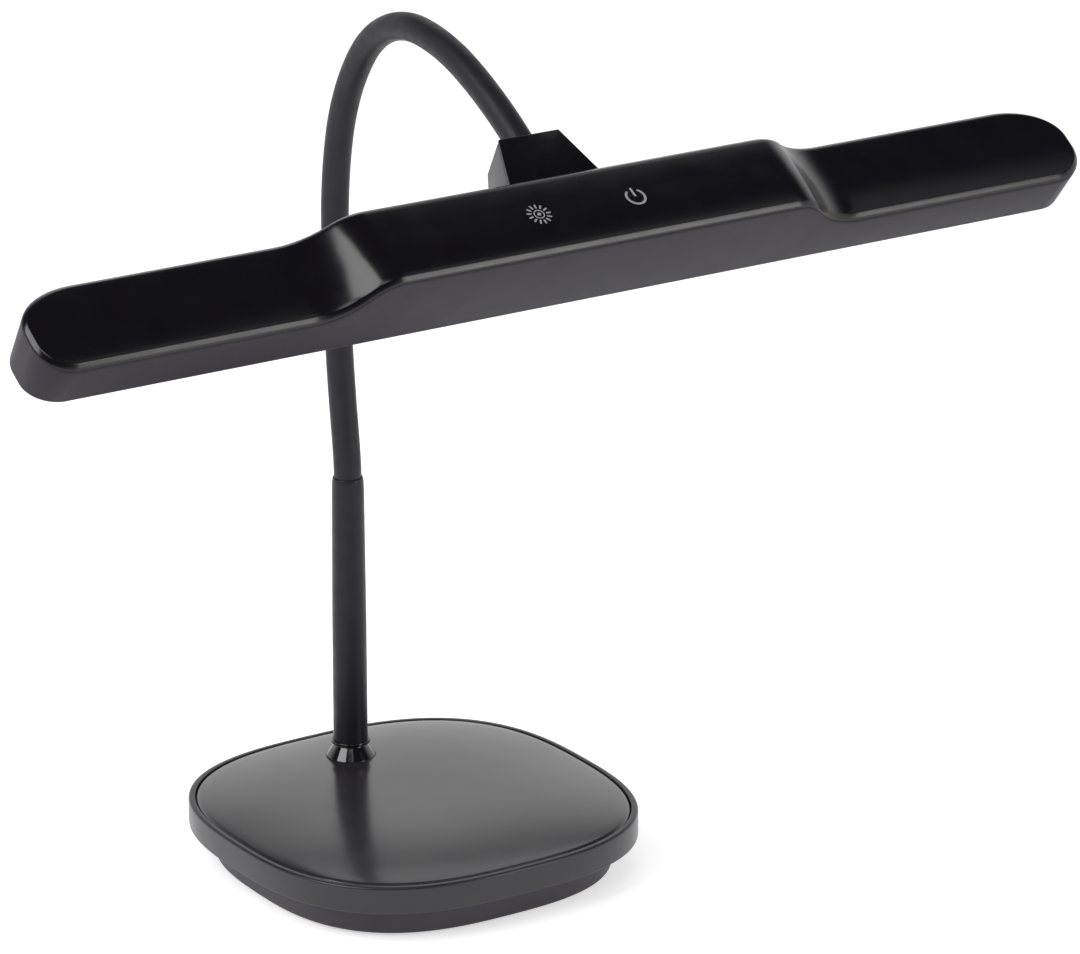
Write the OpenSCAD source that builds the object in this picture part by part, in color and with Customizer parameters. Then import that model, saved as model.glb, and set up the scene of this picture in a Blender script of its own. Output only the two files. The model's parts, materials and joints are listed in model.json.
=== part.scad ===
// Piano lamp: rounded-square weighted base, stem, bending neck and a long two-step LED head.
// Origin at the middle of the base's underside. Z is up, -Y faces the player, X runs along the head.

/* [Base] */
// Half width of the base over its side band
base_half = 100; // [80:1:130]
// Roundness of the base's plan, 2 is a circle and more is squarer
base_power = 2.73; // [2:0.01:5]
// Height of the side band's top edge above the table
base_height = 30.6; // [26:0.2:45]
// Height of the recessed foot
foot_height = 17.3; // [14:0.1:24]
// How far the foot is set in under the side band
foot_inset = 9; // [5:0.5:16]
// Inward slope of the foot's wall over its height
foot_draft = 3; // [0:0.25:6]
// Height of the lid's dome over its rim
lid_dome = 5; // [2:0.25:9]
// Width of the side band's rounded top edge
rim_width = 3; // [2:0.1:5]
// Gap round the lid, and between other parts that drop in
seam_gap = 0.5; // [0.2:0.05:1]
// Wall of the base's moulded parts
base_wall = 2.6; // [2:0.1:4]
// Depth that the lid sits into the side band
lid_depth = 5; // [3:0.25:7]
// Thickness of the steel ballast plate
ballast_thickness = 11; // [4:0.5:12]
// Clear width between the ballast plate and the foot's wall
ballast_margin = 6; // [3:0.5:12]
// How far the base screws stand in from the foot's corners, along X and along Y
screw_inset = 18.6; // [14.6:0.2:30.6]
// Width of the foot's bare rim round its rubber pad
pad_margin = 5; // [2:0.5:12]
// Thickness of the rubber pad that the lamp stands on
pad_height = 1.2; // [0.8:0.1:2]

/* [Power inlet] */
// Radius of the inlet's barrel
socket_radius = 4; // [3:0.25:5]
// Radius of the inlet's mouth
socket_bore = 2.8; // [2:0.1:3.2]
// Length of the inlet
socket_length = 13; // [10:0.5:18]
// Height of the inlet's axis above the table
socket_height = 9; // [8:0.5:11]

/* [Stem] */
// Distance of the stem from the base's back edge
stem_inset = 42.6; // [38:0.2:70]
// Radius of the steel stem tube
tube_radius = 6; // [5.5:0.1:8]
// Wall of the steel stem tube
tube_wall = 1.15; // [0.8:0.05:1.4]
// Height of the stem tube's top end
tube_top = 174; // [120:1:240]
// Radius of the stem sleeve at its lower end
sleeve_low_radius = 8; // [7.6:0.1:10]
// Radius of the stem sleeve below its rounded end
sleeve_top_radius = 7.8; // [7.4:0.1:10]
// Height of the stem sleeve's rounded end over the tube
sleeve_end = 5; // [3:0.5:9]
// Radius of the collar's foot
collar_radius = 11; // [10:0.25:16]
// Radius of the ring on top of the collar
collar_ring = 9; // [8.4:0.1:12]
// Height of the collar
collar_height = 9.4; // [7:0.2:16]
// Radius of the clamp nut across its corners
nut_radius = 10; // [8.5:0.25:12]

/* [Neck] */
// Radius of the neck's rubber sleeve
neck_radius = 6.7; // [6.3:0.05:7]
// Radius of the neck's wound metal core
core_radius = 4.7; // [4:0.05:4.75]
// Radius of the wire channel in the core
channel_radius = 1.9; // [1.5:0.1:2.5]
// Height of the neck's first bend above the table
neck_start = 188; // [150:1:260]
// Length of the neck from the first bend to the second
lower_length = 117; // [60:1:180]
// Backward lean of the neck at its first bend
lower_lean = 9; // [0:0.5:15]
// Length of the rising neck's gentle half
rise_length_a = 44.5; // [25:1:80]
// Length of the rising neck's tight half
rise_length_b = 50; // [25:1:80]
// Length of the arch behind its top
arch_length_a = 60; // [35:1:90]
// Length of the arch in front of its top
arch_length_b = 38.5; // [20:1:70]
// Length of the front run
front_length = 45.2; // [30:1:80]
// Length of the neck's last piece, from its bend to the bracket's seat
tip_length = 30; // [28:1:50]
// Clearance round the ball at each bend
ball_gap = 0.3; // [0.2:0.05:0.6]

/* [Head] */
// Half length of the head
head_half = 277.5; // [240:0.5:340]
// Depth of the head from front to back
head_depth = 44.6; // [38:0.5:60]
// Radius of the head's corners in plan
head_corner = 19; // [12:0.5:19]
// Thickness of the head at its wings
wing_height = 26.2; // [22:0.1:34]
// Extra height of the raised middle at the front
middle_rise = 18.4; // [10:0.1:24]
// Extra height of the raised middle at the back
middle_rise_back = 14; // [10:0.1:24]
// Half length of the raised middle's flat top
middle_half = 107.9; // [60:0.1:160]
// Length of each step down to a wing
step_run = 37.3; // [15:0.1:50]
// How much steeper a step is at its middle than from end to end
step_sweep = 1.44; // [1.1:0.01:1.9]
// Share of a step's two curves that is the lower, hollow one
step_hollow = 0.9; // [0.4:0.05:1]
// Height of the black cover over the seam
cover_edge = 4; // [3:0.1:6]
// Width of the cover's rounded edge
cover_round = 3.2; // [2:0.1:5]
// Wall of the housing at its upper edge
housing_wall = 2.4; // [1.8:0.1:3]
// Inward slope of the housing's wall over its height
housing_draft = 1.8; // [0:0.1:2.5]
// How much stronger that slope is at the two ends
end_draft = 1.9; // [1:0.1:2]
// Height of the shelf that carries the light strip
shelf_height = 9; // [7:0.25:11]
// Depth of the rebate that holds the diffuser
diffuser_seat = 3.2; // [2.4:0.1:4.5]
// Thickness of the diffuser
diffuser_thickness = 2.4; // [1.5:0.1:3]
// Number of light-emitting chips
chip_count = 44; // [20:1:60]

/* [Bracket] */
// Half width of the bracket at the head
bracket_front = 25; // [18:0.25:34]
// Half width of the bracket at the neck
bracket_back = 16; // [11:0.25:22]
// Length of the bracket along its top
bracket_length = 29; // [22:0.5:40]
// Height of the bracket's top above the head's underside
bracket_top = 34; // [32:0.25:36]
// Thickness of the bracket
bracket_height = 22.5; // [21:0.25:26]
// Pitch of the head above level
head_pitch = 34; // [10:1:60]
// Height of the neck's seat above the head's underside
seat_height = 25; // [23:0.2:25.4]
// Distance of the neck's seat behind the head
seat_back = 8; // [6:0.5:12]

/* [Hidden] */
// Running clearance of round parts that slide into each other
fit = 0.1;
// Depth that a screw's shank stands in its boss
bite = 9;
screw_shank = 1.5;
screw_head = 3;
screw_head_height = 2;
pilot = screw_shank + 0.1;
floor_top = pad_height + base_wall;

// Base levels and half widths, from the table up
band_inner = base_half - foot_inset - base_wall - 1;
lid_half = base_half - rim_width - seam_gap;
ledge_z = base_height - lid_depth;
foot_half = base_half - foot_inset;
stem_back = base_half - stem_inset;
screw_offset = foot_half * pow(2, -1 / base_power) - screw_inset;
ballast_half = foot_half - foot_draft - base_wall - ballast_margin;
socket_block = socket_radius + 0.5;
board_half = 14;
board_depth = 16;
board_back = foot_half - foot_draft - socket_length + 8;
boss_low = floor_top + 4.5;
boss_radius = 4.6;
screw_seat = floor_top + 1;
seat_z = lid_z((stem_back + collar_radius) / lid_half) - 0.1;
stem_boss_radius = nut_radius + 5;
stem_boss_z = ledge_z - 1;
corner_top = lid_z(screw_offset * pow(2, 1 / base_power) / lid_half);
stem_boss_top = lid_z((stem_back + stem_boss_radius) / lid_half);
washer_thickness = 1.5;
nut_height = 5;
tube_low = stem_boss_z - washer_thickness - nut_height - 2;
tube_bore = tube_radius - tube_wall;
ring_z = seat_z + collar_height;

// Neck: each run is [length, angle from upright at its far end], positive towards the player
lower_run = [[lower_length, 0]];
rise_runs = [[rise_length_a, 13], [rise_length_b, 39]];
arch_runs = [[arch_length_a, 94], [arch_length_b, 112]];
front_runs = [[front_length, 123]];
tip_angle = 124;
p1 = [stem_back, neck_start, -lower_lean];
p2 = run_end(p1, lower_run[0]);
p2b = run_end(p2, rise_runs[0]);
p3 = run_end(p2b, rise_runs[1]);
p3b = run_end(p3, arch_runs[0]);
p4 = run_end(p3b, arch_runs[1]);
p5 = run_end(p4, front_runs[0]);
seat_point = [p5[0] - tip_length * sin(tip_angle), p5[1] + tip_length * cos(tip_angle)];
bead = 0.05;
socket_ball = neck_radius + bead + ball_gap;
lead_radius = channel_radius - 0.3;
ferrule_length = 14;
ferrule_radius = core_radius + 1.5;

// Head: local X along it, Y from front to back, Z away from the lit underside
seat_u = head_depth + seat_back;
head_y = seat_point[0] - seat_u * cos(head_pitch) + seat_height * sin(head_pitch);
head_z = seat_point[1] - seat_u * sin(head_pitch) - seat_height * cos(head_pitch);
tip_slope = tip_angle - 90 - head_pitch;
step_slope = step_sweep * atan(middle_rise / step_run);
step_arcs = (step_run - middle_rise / tan(step_slope)) * sin(step_slope) / (1 - cos(step_slope));
low_arc = step_arcs * step_hollow;
high_arc = step_arcs - low_arc;
low_run = low_arc * sin(step_slope);
high_run = high_arc * sin(step_slope);
shelf_inset = 7;
shelf_screw = 4;
rebate_inset = 4.2;
inner_inset = 3.8;
carrier_screw_x = head_half - (inner_inset + shelf_inset) / 2 * end_draft;
board_thickness = 1.2;
carrier_thickness = 1.5;
carrier_top = shelf_height + carrier_thickness;
driver_z = carrier_top + 4.5;
middle_tilt = -atan((middle_rise - middle_rise_back) / head_depth);
lid_plate = 1.6;
bracket_screw_z = bracket_top - bracket_height + 7;
tap = 14;
driver_half = 52;
driver_depth = 24;
driver_can = [16, 12, 7];
driver_coil = 4;
pad_spacing = 27;
touch_radius = 8;
touch_board_half = pad_spacing + touch_radius + 5;
touch_board_half_depth = touch_radius + 2;
touch_chip_half = 6;

// ---- shared shapes ----

ring_points = 56;

// One point of the base's rounded-square outline
function squircle(half, i) =
    let (a = 360 * i / ring_points, c = cos(a), s = sin(a))
    [half * sign(c) * pow(abs(c), 2 / base_power), half * sign(s) * pow(abs(s), 2 / base_power)];

function lid_z(share) = base_height + lid_dome * (1 - pow(share, 3.6));

function ring_faces(levels, points, closed) = [
    for (k = [0 : levels - (closed ? 1 : 2)], i = [0 : points - 1])
        let (a = k * points, b = ((k + 1) % levels) * points, j = (i + 1) % points)
        [a + i, b + i, b + j, a + j]
];

// Solid or ring between base outlines, each level [half width, height], up the outside and then inwards
module base_loft(levels, closed = false) {
    rings = [for (l = levels, i = [0 : ring_points - 1]) let (p = squircle(l[0], i)) [p[0], p[1], l[1]]];
    ends = closed ? [] : [
        [for (i = [0 : ring_points - 1]) i],
        [for (i = [ring_points - 1 : -1 : 0]) (len(levels) - 1) * ring_points + i]
    ];
    polyhedron(rings, concat(ring_faces(len(levels), ring_points, closed), ends), convexity = 6);
}

module base_plate(half, height) {
    linear_extrude(height) polygon([for (i = [0 : ring_points - 1]) squircle(half, i)]);
}

module at_corners(distance) {
    for (x = [-distance, distance], y = [-distance, distance]) translate([x, y, 0]) children();
}

module tube(outer, inner, length) {
    difference() {
        cylinder(r = outer, h = length, $fn = 48);
        translate([0, 0, -1]) cylinder(r = inner, h = length + 2, $fn = 48);
    }
}

// Far end of a run that starts at [y, z, angle]
function run_end(from, run) =
    let (turn = (run[1] - from[2]) * PI / 180, r = run[0] / turn)
    [from[0] + r * (cos(run[1]) - cos(from[2])), from[1] + r * (sin(run[1]) - sin(from[2])), run[1]];

// Curved rod along one run of the neck
module neck_arc(from, run, radius) {
    turn = run[1] - from[2];
    r = run[0] / (turn * PI / 180);
    start = turn > 0 ? from[2] : from[2] + 180 + turn;
    translate([0, from[0] - r * cos(from[2]), from[1] - r * sin(from[2])])
        rotate([90, 0, 90]) rotate([0, 0, start])
            rotate_extrude(angle = abs(turn), $fn = ceil(360 / abs(turn) * 8))
                translate([abs(r), 0]) circle(r = radius, $fn = 32);
}

// Children stand at a neck point with Z along the neck
module at_neck(point) {
    translate([0, point[0], point[1]]) rotate([point[2], 0, 0]) children();
}

// Rod along a neck piece, with a ball at its far end and a bead where two runs meet
module neck_rod(from, runs, to, radius) {
    between = run_end(from, runs[0]);
    neck_arc(from, runs[0], radius);
    if (len(runs) > 1) {
        neck_arc(between, runs[1], radius);
        at_neck(between) sphere(r = radius + bead, $fn = 32);
    }
    at_neck(to) sphere(r = radius + bead, $fn = 32);
}

module neck_piece(from, runs, to, outer, inner) {
    difference() {
        neck_rod(from, runs, to, outer);
        if (inner > 0) {
            neck_rod(from, runs, to, inner);
            at_neck(to) cylinder(r = lead_radius + 0.1, h = outer + 1, $fn = 24);
        }
        at_neck(from) sphere(r = socket_ball, $fn = 40);
    }
}

module neck_core(from, runs, to) {
    neck_piece(from, runs, to, core_radius, channel_radius);
}

module neck_sleeve(from, runs, to) {
    neck_piece(from, runs, to, neck_radius, core_radius + fit);
}

module neck_lead(from, runs, to) {
    neck_piece(from, runs, to, lead_radius, 0);
}

// Height gained at distance d into a step: a hollow arc, a straight slope and a round arc
function step_gain(d) = d <= 0 ? 0 : d >= step_run ? middle_rise
    : d < low_run ? low_arc * (1 - cos(asin(d / low_arc)))
    : d < step_run - high_run ? low_arc * (1 - cos(step_slope)) + (d - low_run) * tan(step_slope)
    : middle_rise - high_arc * (1 - cos(asin((step_run - d) / high_arc)));

function head_top(x, u) =
    let (gain = step_gain(middle_half + step_run - abs(x)) / middle_rise)
    wing_height + gain * (middle_rise + (middle_rise_back - middle_rise) * u / head_depth);

step_stations = concat(
    [for (k = [0 : 6]) low_arc * sin(step_slope * k / 6)],
    [for (k = [4 : -1 : 0]) step_run - high_arc * sin(step_slope * k / 4)]
);
corner_steps = 7;
corner_x = head_half - head_corner;

// Front half of the head's outline from -X to +X, each point [x, u, normal x, normal u]
head_front = concat(
    [for (k = [0 : corner_steps]) let (a = 180 + 90 * k / corner_steps)
        [-corner_x + head_corner * cos(a), head_corner + head_corner * sin(a), cos(a), sin(a)]],
    [for (d = step_stations) [-middle_half - step_run + d, 0, 0, -1]],
    [for (k = [len(step_stations) - 1 : -1 : 0]) [middle_half + step_run - step_stations[k], 0, 0, -1]],
    [for (k = [0 : corner_steps]) let (a = 270 + 90 * k / corner_steps)
        [corner_x + head_corner * cos(a), head_corner + head_corner * sin(a), cos(a), sin(a)]]
);
front_count = len(head_front);
head_outline = concat(head_front,
    [for (i = [front_count - 1 : -1 : 0]) let (p = head_front[i]) [p[0], head_depth - p[1], p[2], -p[3]]]);
outline_count = len(head_outline);

// Point of the head's outline set in by level[0]; level[1] is a height, or under the top if level[2] is true
function head_point(p, level) = [
    p[0] - level[0] * p[2] * end_draft, p[1] - level[0] * p[3],
    level[2] ? head_top(p[0], p[1] - level[0] * p[3]) + level[1] : level[1]
];

// Cap between the front and back halves of one level, as strips across the head
function strip_faces(base, up) = [
    for (i = [0 : front_count - 2])
        let (a = base + i, b = a + 1, d = base + outline_count - 1 - i, c = d - 1)
        each (up ? [[c, b, a], [d, c, a]] : [[a, b, c], [a, c, d]])
];

module head_loft(levels, closed = false) {
    points = [for (l = levels, p = head_outline) head_point(p, l)];
    last = (len(levels) - 1) * outline_count;
    caps = closed ? [] : concat(strip_faces(0, false), strip_faces(last, true));
    polyhedron(points, concat(ring_faces(len(levels), outline_count, closed), caps), convexity = 8);
}

module head_frame() {
    translate([0, head_y, head_z]) rotate([head_pitch, 0, 0]) children();
}

// Outer and inner face of the housing's back wall at height w, in the raised middle
wall_top = head_top(0, head_depth) - cover_edge;
function wall_outer(w) = head_depth - housing_draft * (wall_top - 2 - w) / (wall_top - 2 - 0.8);
function wall_inner(w) = head_depth - inner_inset
    + (inner_inset - housing_wall) * (w - shelf_height) / (wall_top - shelf_height);

// Children stand at the neck's seat in the head's frame, with Z back along the neck
module at_seat() {
    translate([0, seat_u, seat_height]) rotate([tip_slope - 90, 0, 0]) children();
}

// ---- base ----

module base_foot() {
    color("#2f2f33") difference() {
        union() {
            base_loft([
                [foot_half - foot_draft - 1.8, pad_height], [foot_half - foot_draft - 0.6, pad_height + 0.8],
                [foot_half - foot_draft * 0.8, pad_height + 2.6], [foot_half, foot_height],
                [foot_half - base_wall, foot_height], [foot_half - foot_draft - base_wall, floor_top]
            ]);
            at_corners(screw_offset) translate([0, 0, floor_top - 1])
                cylinder(r = boss_radius, h = boss_low - floor_top + 1, $fn = 32);
        }
        at_corners(screw_offset) {
            translate([0, 0, -1]) cylinder(r = screw_shank + 0.2, h = boss_low + 2, $fn = 24);
            translate([0, 0, -1]) cylinder(r = screw_head + 0.3, h = screw_seat + 1, $fn = 32);
        }
        translate([0, foot_half + base_wall, socket_height]) rotate([90, 0, 0])
            cylinder(r = socket_radius + fit, h = foot_draft + 3 * base_wall, $fn = 32);
    }
}

module base_pad() {
    color("#1c1c1c") base_plate(foot_half - foot_draft - pad_margin, pad_height);
}

module ballast_plate() {
    color("#77787c") translate([0, 0, floor_top]) difference() {
        base_plate(ballast_half, ballast_thickness);
        at_corners(screw_offset) translate([0, 0, -1])
            cylinder(r = boss_radius + 1, h = ballast_thickness + 2, $fn = 32);
        translate([-board_half - 2, board_back - board_depth - 2, -1])
            cube([2 * board_half + 4, base_half, ballast_thickness + 2]);
    }
}

module base_side_band() {
    color("#2a2a2e") base_loft([
        [base_half - 1, foot_height], [base_half, foot_height + 1.2],
        [base_half, base_height - rim_width * 0.6], [base_half - rim_width * 0.35, base_height - 0.4],
        [lid_half + seam_gap + 0.6, base_height], [lid_half + seam_gap, base_height - 0.5],
        [lid_half + seam_gap, ledge_z], [band_inner, ledge_z], [band_inner, foot_height]
    ], closed = true);
}

module base_top_cover() {
    under = [0.15, 0.4, 0.62, 0.8, 0.93];
    over = [0.985, 0.955, 0.91, 0.84, 0.72, 0.52, 0.25];
    color("#6c6c70") difference() {
        union() {
            base_loft(concat(
                [for (s = under) [lid_half * s, lid_z(s) - base_wall]],
                [[lid_half * 0.955, ledge_z], [lid_half, ledge_z], [lid_half, base_height - 0.7]],
                [for (s = over) [lid_half * s, lid_z(s)]]
            ));
            at_corners(screw_offset) translate([0, 0, boss_low])
                cylinder(r = boss_radius, h = corner_top - base_wall / 2 - boss_low, $fn = 32);
            translate([0, stem_back, stem_boss_z])
                cylinder(r = stem_boss_radius, h = stem_boss_top - base_wall / 3 - stem_boss_z, $fn = 40);
        }
        at_corners(screw_offset) translate([0, 0, boss_low - 1]) cylinder(r = pilot, h = bite + 3, $fn = 24);
        translate([0, stem_back, seat_z]) cylinder(r = collar_radius + 0.3, h = lid_dome + 5, $fn = 48);
        translate([0, stem_back, stem_boss_z - 1])
            cylinder(r = tube_radius + fit, h = base_height, $fn = 48);
    }
}

module base_screws() {
    color("#8a8a8e") at_corners(screw_offset) {
        translate([0, 0, screw_seat - screw_head_height])
            cylinder(r = screw_head, h = screw_head_height, $fn = 24);
        translate([0, 0, screw_seat - 0.2])
            cylinder(r = screw_shank, h = boss_low + bite - screw_seat + 0.2, $fn = 24);
    }
}

module power_socket() {
    back = foot_half - foot_draft * 0.5;
    color("#202022") difference() {
        union() {
            translate([0, back, socket_height]) rotate([90, 0, 0])
                cylinder(r = socket_radius, h = socket_length, $fn = 32);
            translate([-socket_block, back - socket_length, socket_height - socket_block])
                cube([2 * socket_block, socket_length - base_wall - foot_draft - 1, 2 * socket_block]);
        }
        translate([0, back + 1, socket_height]) rotate([90, 0, 0])
            cylinder(r = socket_bore, h = socket_length - 2, $fn = 32);
    }
    color("#c9c9cc") translate([0, back - 1, socket_height]) rotate([90, 0, 0])
        cylinder(r = socket_bore * 0.35, h = socket_length - 2, $fn = 16);
}

module power_board() {
    color("#2e6b3a") translate([-board_half, board_back - board_depth, socket_height + socket_block])
        cube([2 * board_half, board_depth, 1.6]);
    color("#303034") translate([0, board_back - board_depth + 2, socket_height + socket_block + 1.6]) {
        translate([-11, 0, 0]) cube([7, 7, 4]);
        translate([3, 1, 0]) cube([6, 5, 3]);
    }
}

module stem_washer() {
    color("#9a9b9f") translate([0, stem_back, stem_boss_z - washer_thickness])
        tube(nut_radius + 2, tube_radius + fit, washer_thickness);
}

module stem_nut() {
    color("#a6a7ab") translate([0, stem_back, stem_boss_z - washer_thickness - nut_height]) difference() {
        linear_extrude(nut_height) polygon([for (a = [0 : 60 : 300]) nut_radius * [cos(a), sin(a)]]);
        translate([0, 0, -1]) cylinder(r = tube_radius + fit, h = nut_height + 2, $fn = 48);
    }
}

module stem_collar() {
    waist = sleeve_low_radius - 0.4;
    ring = 1.6;
    color("#0c0c0e") translate([0, stem_back, seat_z]) rotate_extrude($fn = 64) polygon([
        [tube_radius + fit, 0], [collar_radius - 0.3, 0], [collar_radius, 0.3], [collar_radius, 1.1],
        [waist, collar_height - ring - 0.8], [waist, collar_height - ring],
        [collar_ring - 0.3, collar_height - ring],
        [collar_ring, collar_height - ring + 0.3], [collar_ring, collar_height - 0.3],
        [collar_ring - 0.3, collar_height], [tube_radius + fit, collar_height]
    ]);
}

module stem_tube() {
    color("#8f9094") translate([0, stem_back, tube_low]) tube(tube_radius, tube_bore, tube_top - tube_low);
}

module stem_sleeve() {
    lip = neck_radius + 0.4;
    span = sleeve_top_radius - lip;
    color("#232326") translate([0, stem_back, 0]) rotate_extrude($fn = 64) polygon(concat(
        [[tube_radius + fit, ring_z], [sleeve_low_radius, ring_z]],
        [for (k = [0 : 6]) let (a = 90 * k / 6)
            [lip + span * cos(a), tube_top - 2 + (sleeve_end + 2) * sin(a)]],
        [[neck_radius + fit, tube_top + sleeve_end], [neck_radius + fit, tube_top - 0.5],
         [tube_radius + fit, tube_top - 0.5]]
    ));
}

module stem_lead() {
    color("#5a1f1f") translate([0, stem_back, tube_low + 1])
        cylinder(r = lead_radius, h = neck_start - 2 - tube_low, $fn = 20);
}

// ---- neck ----

root_core_depth = 25;

module root_rod(radius, low) {
    translate([0, 0, low]) cylinder(r = radius, h = neck_start - low, $fn = 32);
    translate([0, 0, neck_start]) sphere(r = radius + bead, $fn = 32);
}

module neck_root(outer, inner, low) {
    translate([0, stem_back, 0]) difference() {
        root_rod(outer, low);
        root_rod(inner, low - 1);
        translate([0, 0, neck_start]) cylinder(r = lead_radius + 0.1, h = outer + 1, $fn = 24);
    }
}

module neck_root_core() {
    color("#7d7e82") neck_root(core_radius, channel_radius, tube_top - root_core_depth);
}

module neck_root_sleeve() {
    color("#303034") neck_root(neck_radius, core_radius + fit, tube_top);
}

module neck_lower_core() { color("#7d7e82") neck_core(p1, lower_run, p2); }
module neck_lower_sleeve() { color("#303034") neck_sleeve(p1, lower_run, p2); }
module neck_lower_lead() { color("#5a1f1f") neck_lead(p1, lower_run, p2); }
module neck_rise_core() { color("#7d7e82") neck_core(p2, rise_runs, p3); }
module neck_rise_sleeve() { color("#323236") neck_sleeve(p2, rise_runs, p3); }
module neck_rise_lead() { color("#5a1f1f") neck_lead(p2, rise_runs, p3); }
module neck_arch_core() { color("#7d7e82") neck_core(p3, arch_runs, p4); }
module neck_arch_sleeve() { color("#303034") neck_sleeve(p3, arch_runs, p4); }
module neck_arch_lead() { color("#5a1f1f") neck_lead(p3, arch_runs, p4); }
module neck_front_core() { color("#7d7e82") neck_core(p4, front_runs, p5); }
module neck_front_sleeve() { color("#323236") neck_sleeve(p4, front_runs, p5); }
module neck_front_lead() { color("#5a1f1f") neck_lead(p4, front_runs, p5); }

// The last piece is straight, from the last bend's socket into the bracket
module neck_tip(outer, inner, from, to) {
    difference() {
        translate([0, p5[0], p5[1]]) rotate([tip_angle, 0, 0]) translate([0, 0, from])
            if (inner > 0) tube(outer, inner, to - from);
            else cylinder(r = outer, h = to - from, $fn = 20);
        at_neck(p5) sphere(r = socket_ball, $fn = 40);
    }
}

module neck_tip_core() {
    color("#7d7e82") neck_tip(core_radius, channel_radius, 1, tip_length);
}

module neck_tip_sleeve() {
    color("#303034") neck_tip(neck_radius, core_radius + fit, 1, tip_length - ferrule_length);
}

module neck_tip_lead() {
    color("#5a1f1f") neck_tip(lead_radius, 0, 1, tip_length + seat_back + housing_wall + 8);
}

module neck_ferrule() {
    color("#b5b6ba") head_frame() at_seat() tube(ferrule_radius, core_radius + fit, ferrule_length);
}

// ---- bracket and head ----

module bracket_block(low, high) {
    back = head_depth + bracket_length;
    base = bracket_top - bracket_height;
    intersection() {
        translate([0, 0, low]) linear_extrude(high - low) polygon([
            [-bracket_front, head_depth - 4], [bracket_front, head_depth - 4],
            [bracket_front, head_depth + 2],
            [bracket_back, back], [-bracket_back, back], [-bracket_front, head_depth + 2]
        ]);
        rotate([90, 0, 90]) linear_extrude(2 * bracket_front + 2, center = true) polygon([
            [wall_outer(base), base], [back - 10, base], [back - 3.7, base + 3],
            [back - 0.4, bracket_top - 0.8], [back - 1, bracket_top], [wall_outer(bracket_top), bracket_top]
        ]);
    }
}

module bracket_body() {
    color("#3a3a3e") head_frame() difference() {
        bracket_block(bracket_top - bracket_height, bracket_top - lid_plate);
        at_seat() {
            cylinder(r = ferrule_radius + fit, h = ferrule_length + fit, $fn = 40);
            cylinder(r = neck_radius + fit, h = 2 * bracket_length, $fn = 40);
            translate([0, 0, -bracket_length]) cylinder(r = channel_radius, h = 2 * bracket_length, $fn = 24);
        }
        bracket_screw_places() translate([0, 0, -housing_draft - 1])
            cylinder(r = pilot, h = tap + housing_draft + 1, $fn = 24);
    }
}

module bracket_lid() {
    color("#0c0c0e") head_frame() bracket_block(bracket_top - lid_plate, bracket_top);
}

module bracket_screw_places() {
    for (x = [-1, 1]) translate([x * (bracket_front - 7.5), head_depth, bracket_screw_z])
        rotate([-90, 0, 0]) children();
}

module bracket_screws() {
    under_head = wall_inner(bracket_screw_z - screw_head) - head_depth - 0.1;
    color("#8a8a8e") head_frame() bracket_screw_places() {
        translate([0, 0, under_head - screw_head_height])
            cylinder(r = screw_head, h = screw_head_height, $fn = 24);
        translate([0, 0, under_head - 0.2])
            cylinder(r = screw_shank, h = tap - 2 - under_head, $fn = 24);
    }
}

module head_housing() {
    color("#4a4a50") head_frame() difference() {
        head_loft([
            [housing_draft + 0.8, 0], [housing_draft, 0.8], [0, -cover_edge - 2, true],
            [0, -cover_edge, true], [housing_wall, -cover_edge, true], [inner_inset, shelf_height],
            [shelf_inset, shelf_height], [shelf_inset, diffuser_seat],
            [rebate_inset, diffuser_seat], [rebate_inset, 0]
        ], closed = true);
        bracket_screw_places() translate([0, 0, -8]) cylinder(r = screw_shank + 0.2, h = 12, $fn = 24);
        at_seat() translate([0, 0, -bracket_length])
            cylinder(r = channel_radius, h = 2 * bracket_length, $fn = 24);
        carrier_screw_places() translate([0, 0, -shelf_screw]) cylinder(r = pilot - 0.4, h = 10, $fn = 24);
    }
}

module head_cover() {
    under = 0.3;
    color("#101014") head_frame() head_loft([
        [under, -cover_edge, true], [under, -cover_edge * 0.6, true],
        [under + cover_round * 0.12, -cover_edge * 0.32, true],
        [under + cover_round * 0.42, -cover_edge * 0.1, true],
        [under + cover_round, 0, true]
    ]);
}

module led_carrier() {
    inset = inner_inset + 0.3;
    color("#b9babd") head_frame() difference() {
        union() {
            head_loft([[inset, shelf_height], [inset, carrier_top]]);
            for (x = [-1, 1], u = [-1, 1])
                translate([x * (driver_half - 7), (head_depth + u * (driver_depth - 6)) / 2, carrier_top])
                    translate([0, 0, -0.5]) cylinder(r = 2.4, h = driver_z - carrier_top + 0.5, $fn = 24);
        }
        carrier_screw_places() translate([0, 0, -carrier_thickness])
            cylinder(r = screw_shank, h = 3 * carrier_thickness, $fn = 24);
    }
}

module carrier_screw_places() {
    for (x = [-1, 1])
        translate([x * carrier_screw_x, head_depth / 2, shelf_height]) children();
}

module carrier_screws() {
    color("#8a8a8e") head_frame() carrier_screw_places() {
        translate([0, 0, carrier_thickness]) cylinder(r = 2.2, h = 1.4, $fn = 24);
        translate([0, 0, 0.4 - shelf_screw])
            cylinder(r = pilot - 0.5, h = carrier_thickness + shelf_screw - 0.2, $fn = 24);
    }
}

strip_half = head_half - shelf_inset * end_draft - 5;

module led_board() {
    color("#e6e6e0") head_frame() translate([-strip_half, head_depth / 2 - 7, shelf_height - board_thickness])
        cube([2 * strip_half, 14, board_thickness]);
}

module led_chips() {
    pitch = (2 * strip_half - 12) / (chip_count - 1);
    color("#f2e9a8") head_frame() for (i = [0 : chip_count - 1])
        translate([-strip_half + 6 + i * pitch, head_depth / 2, shelf_height - board_thickness - 0.4])
            cube([3, 3, 0.8], center = true);
}

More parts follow.
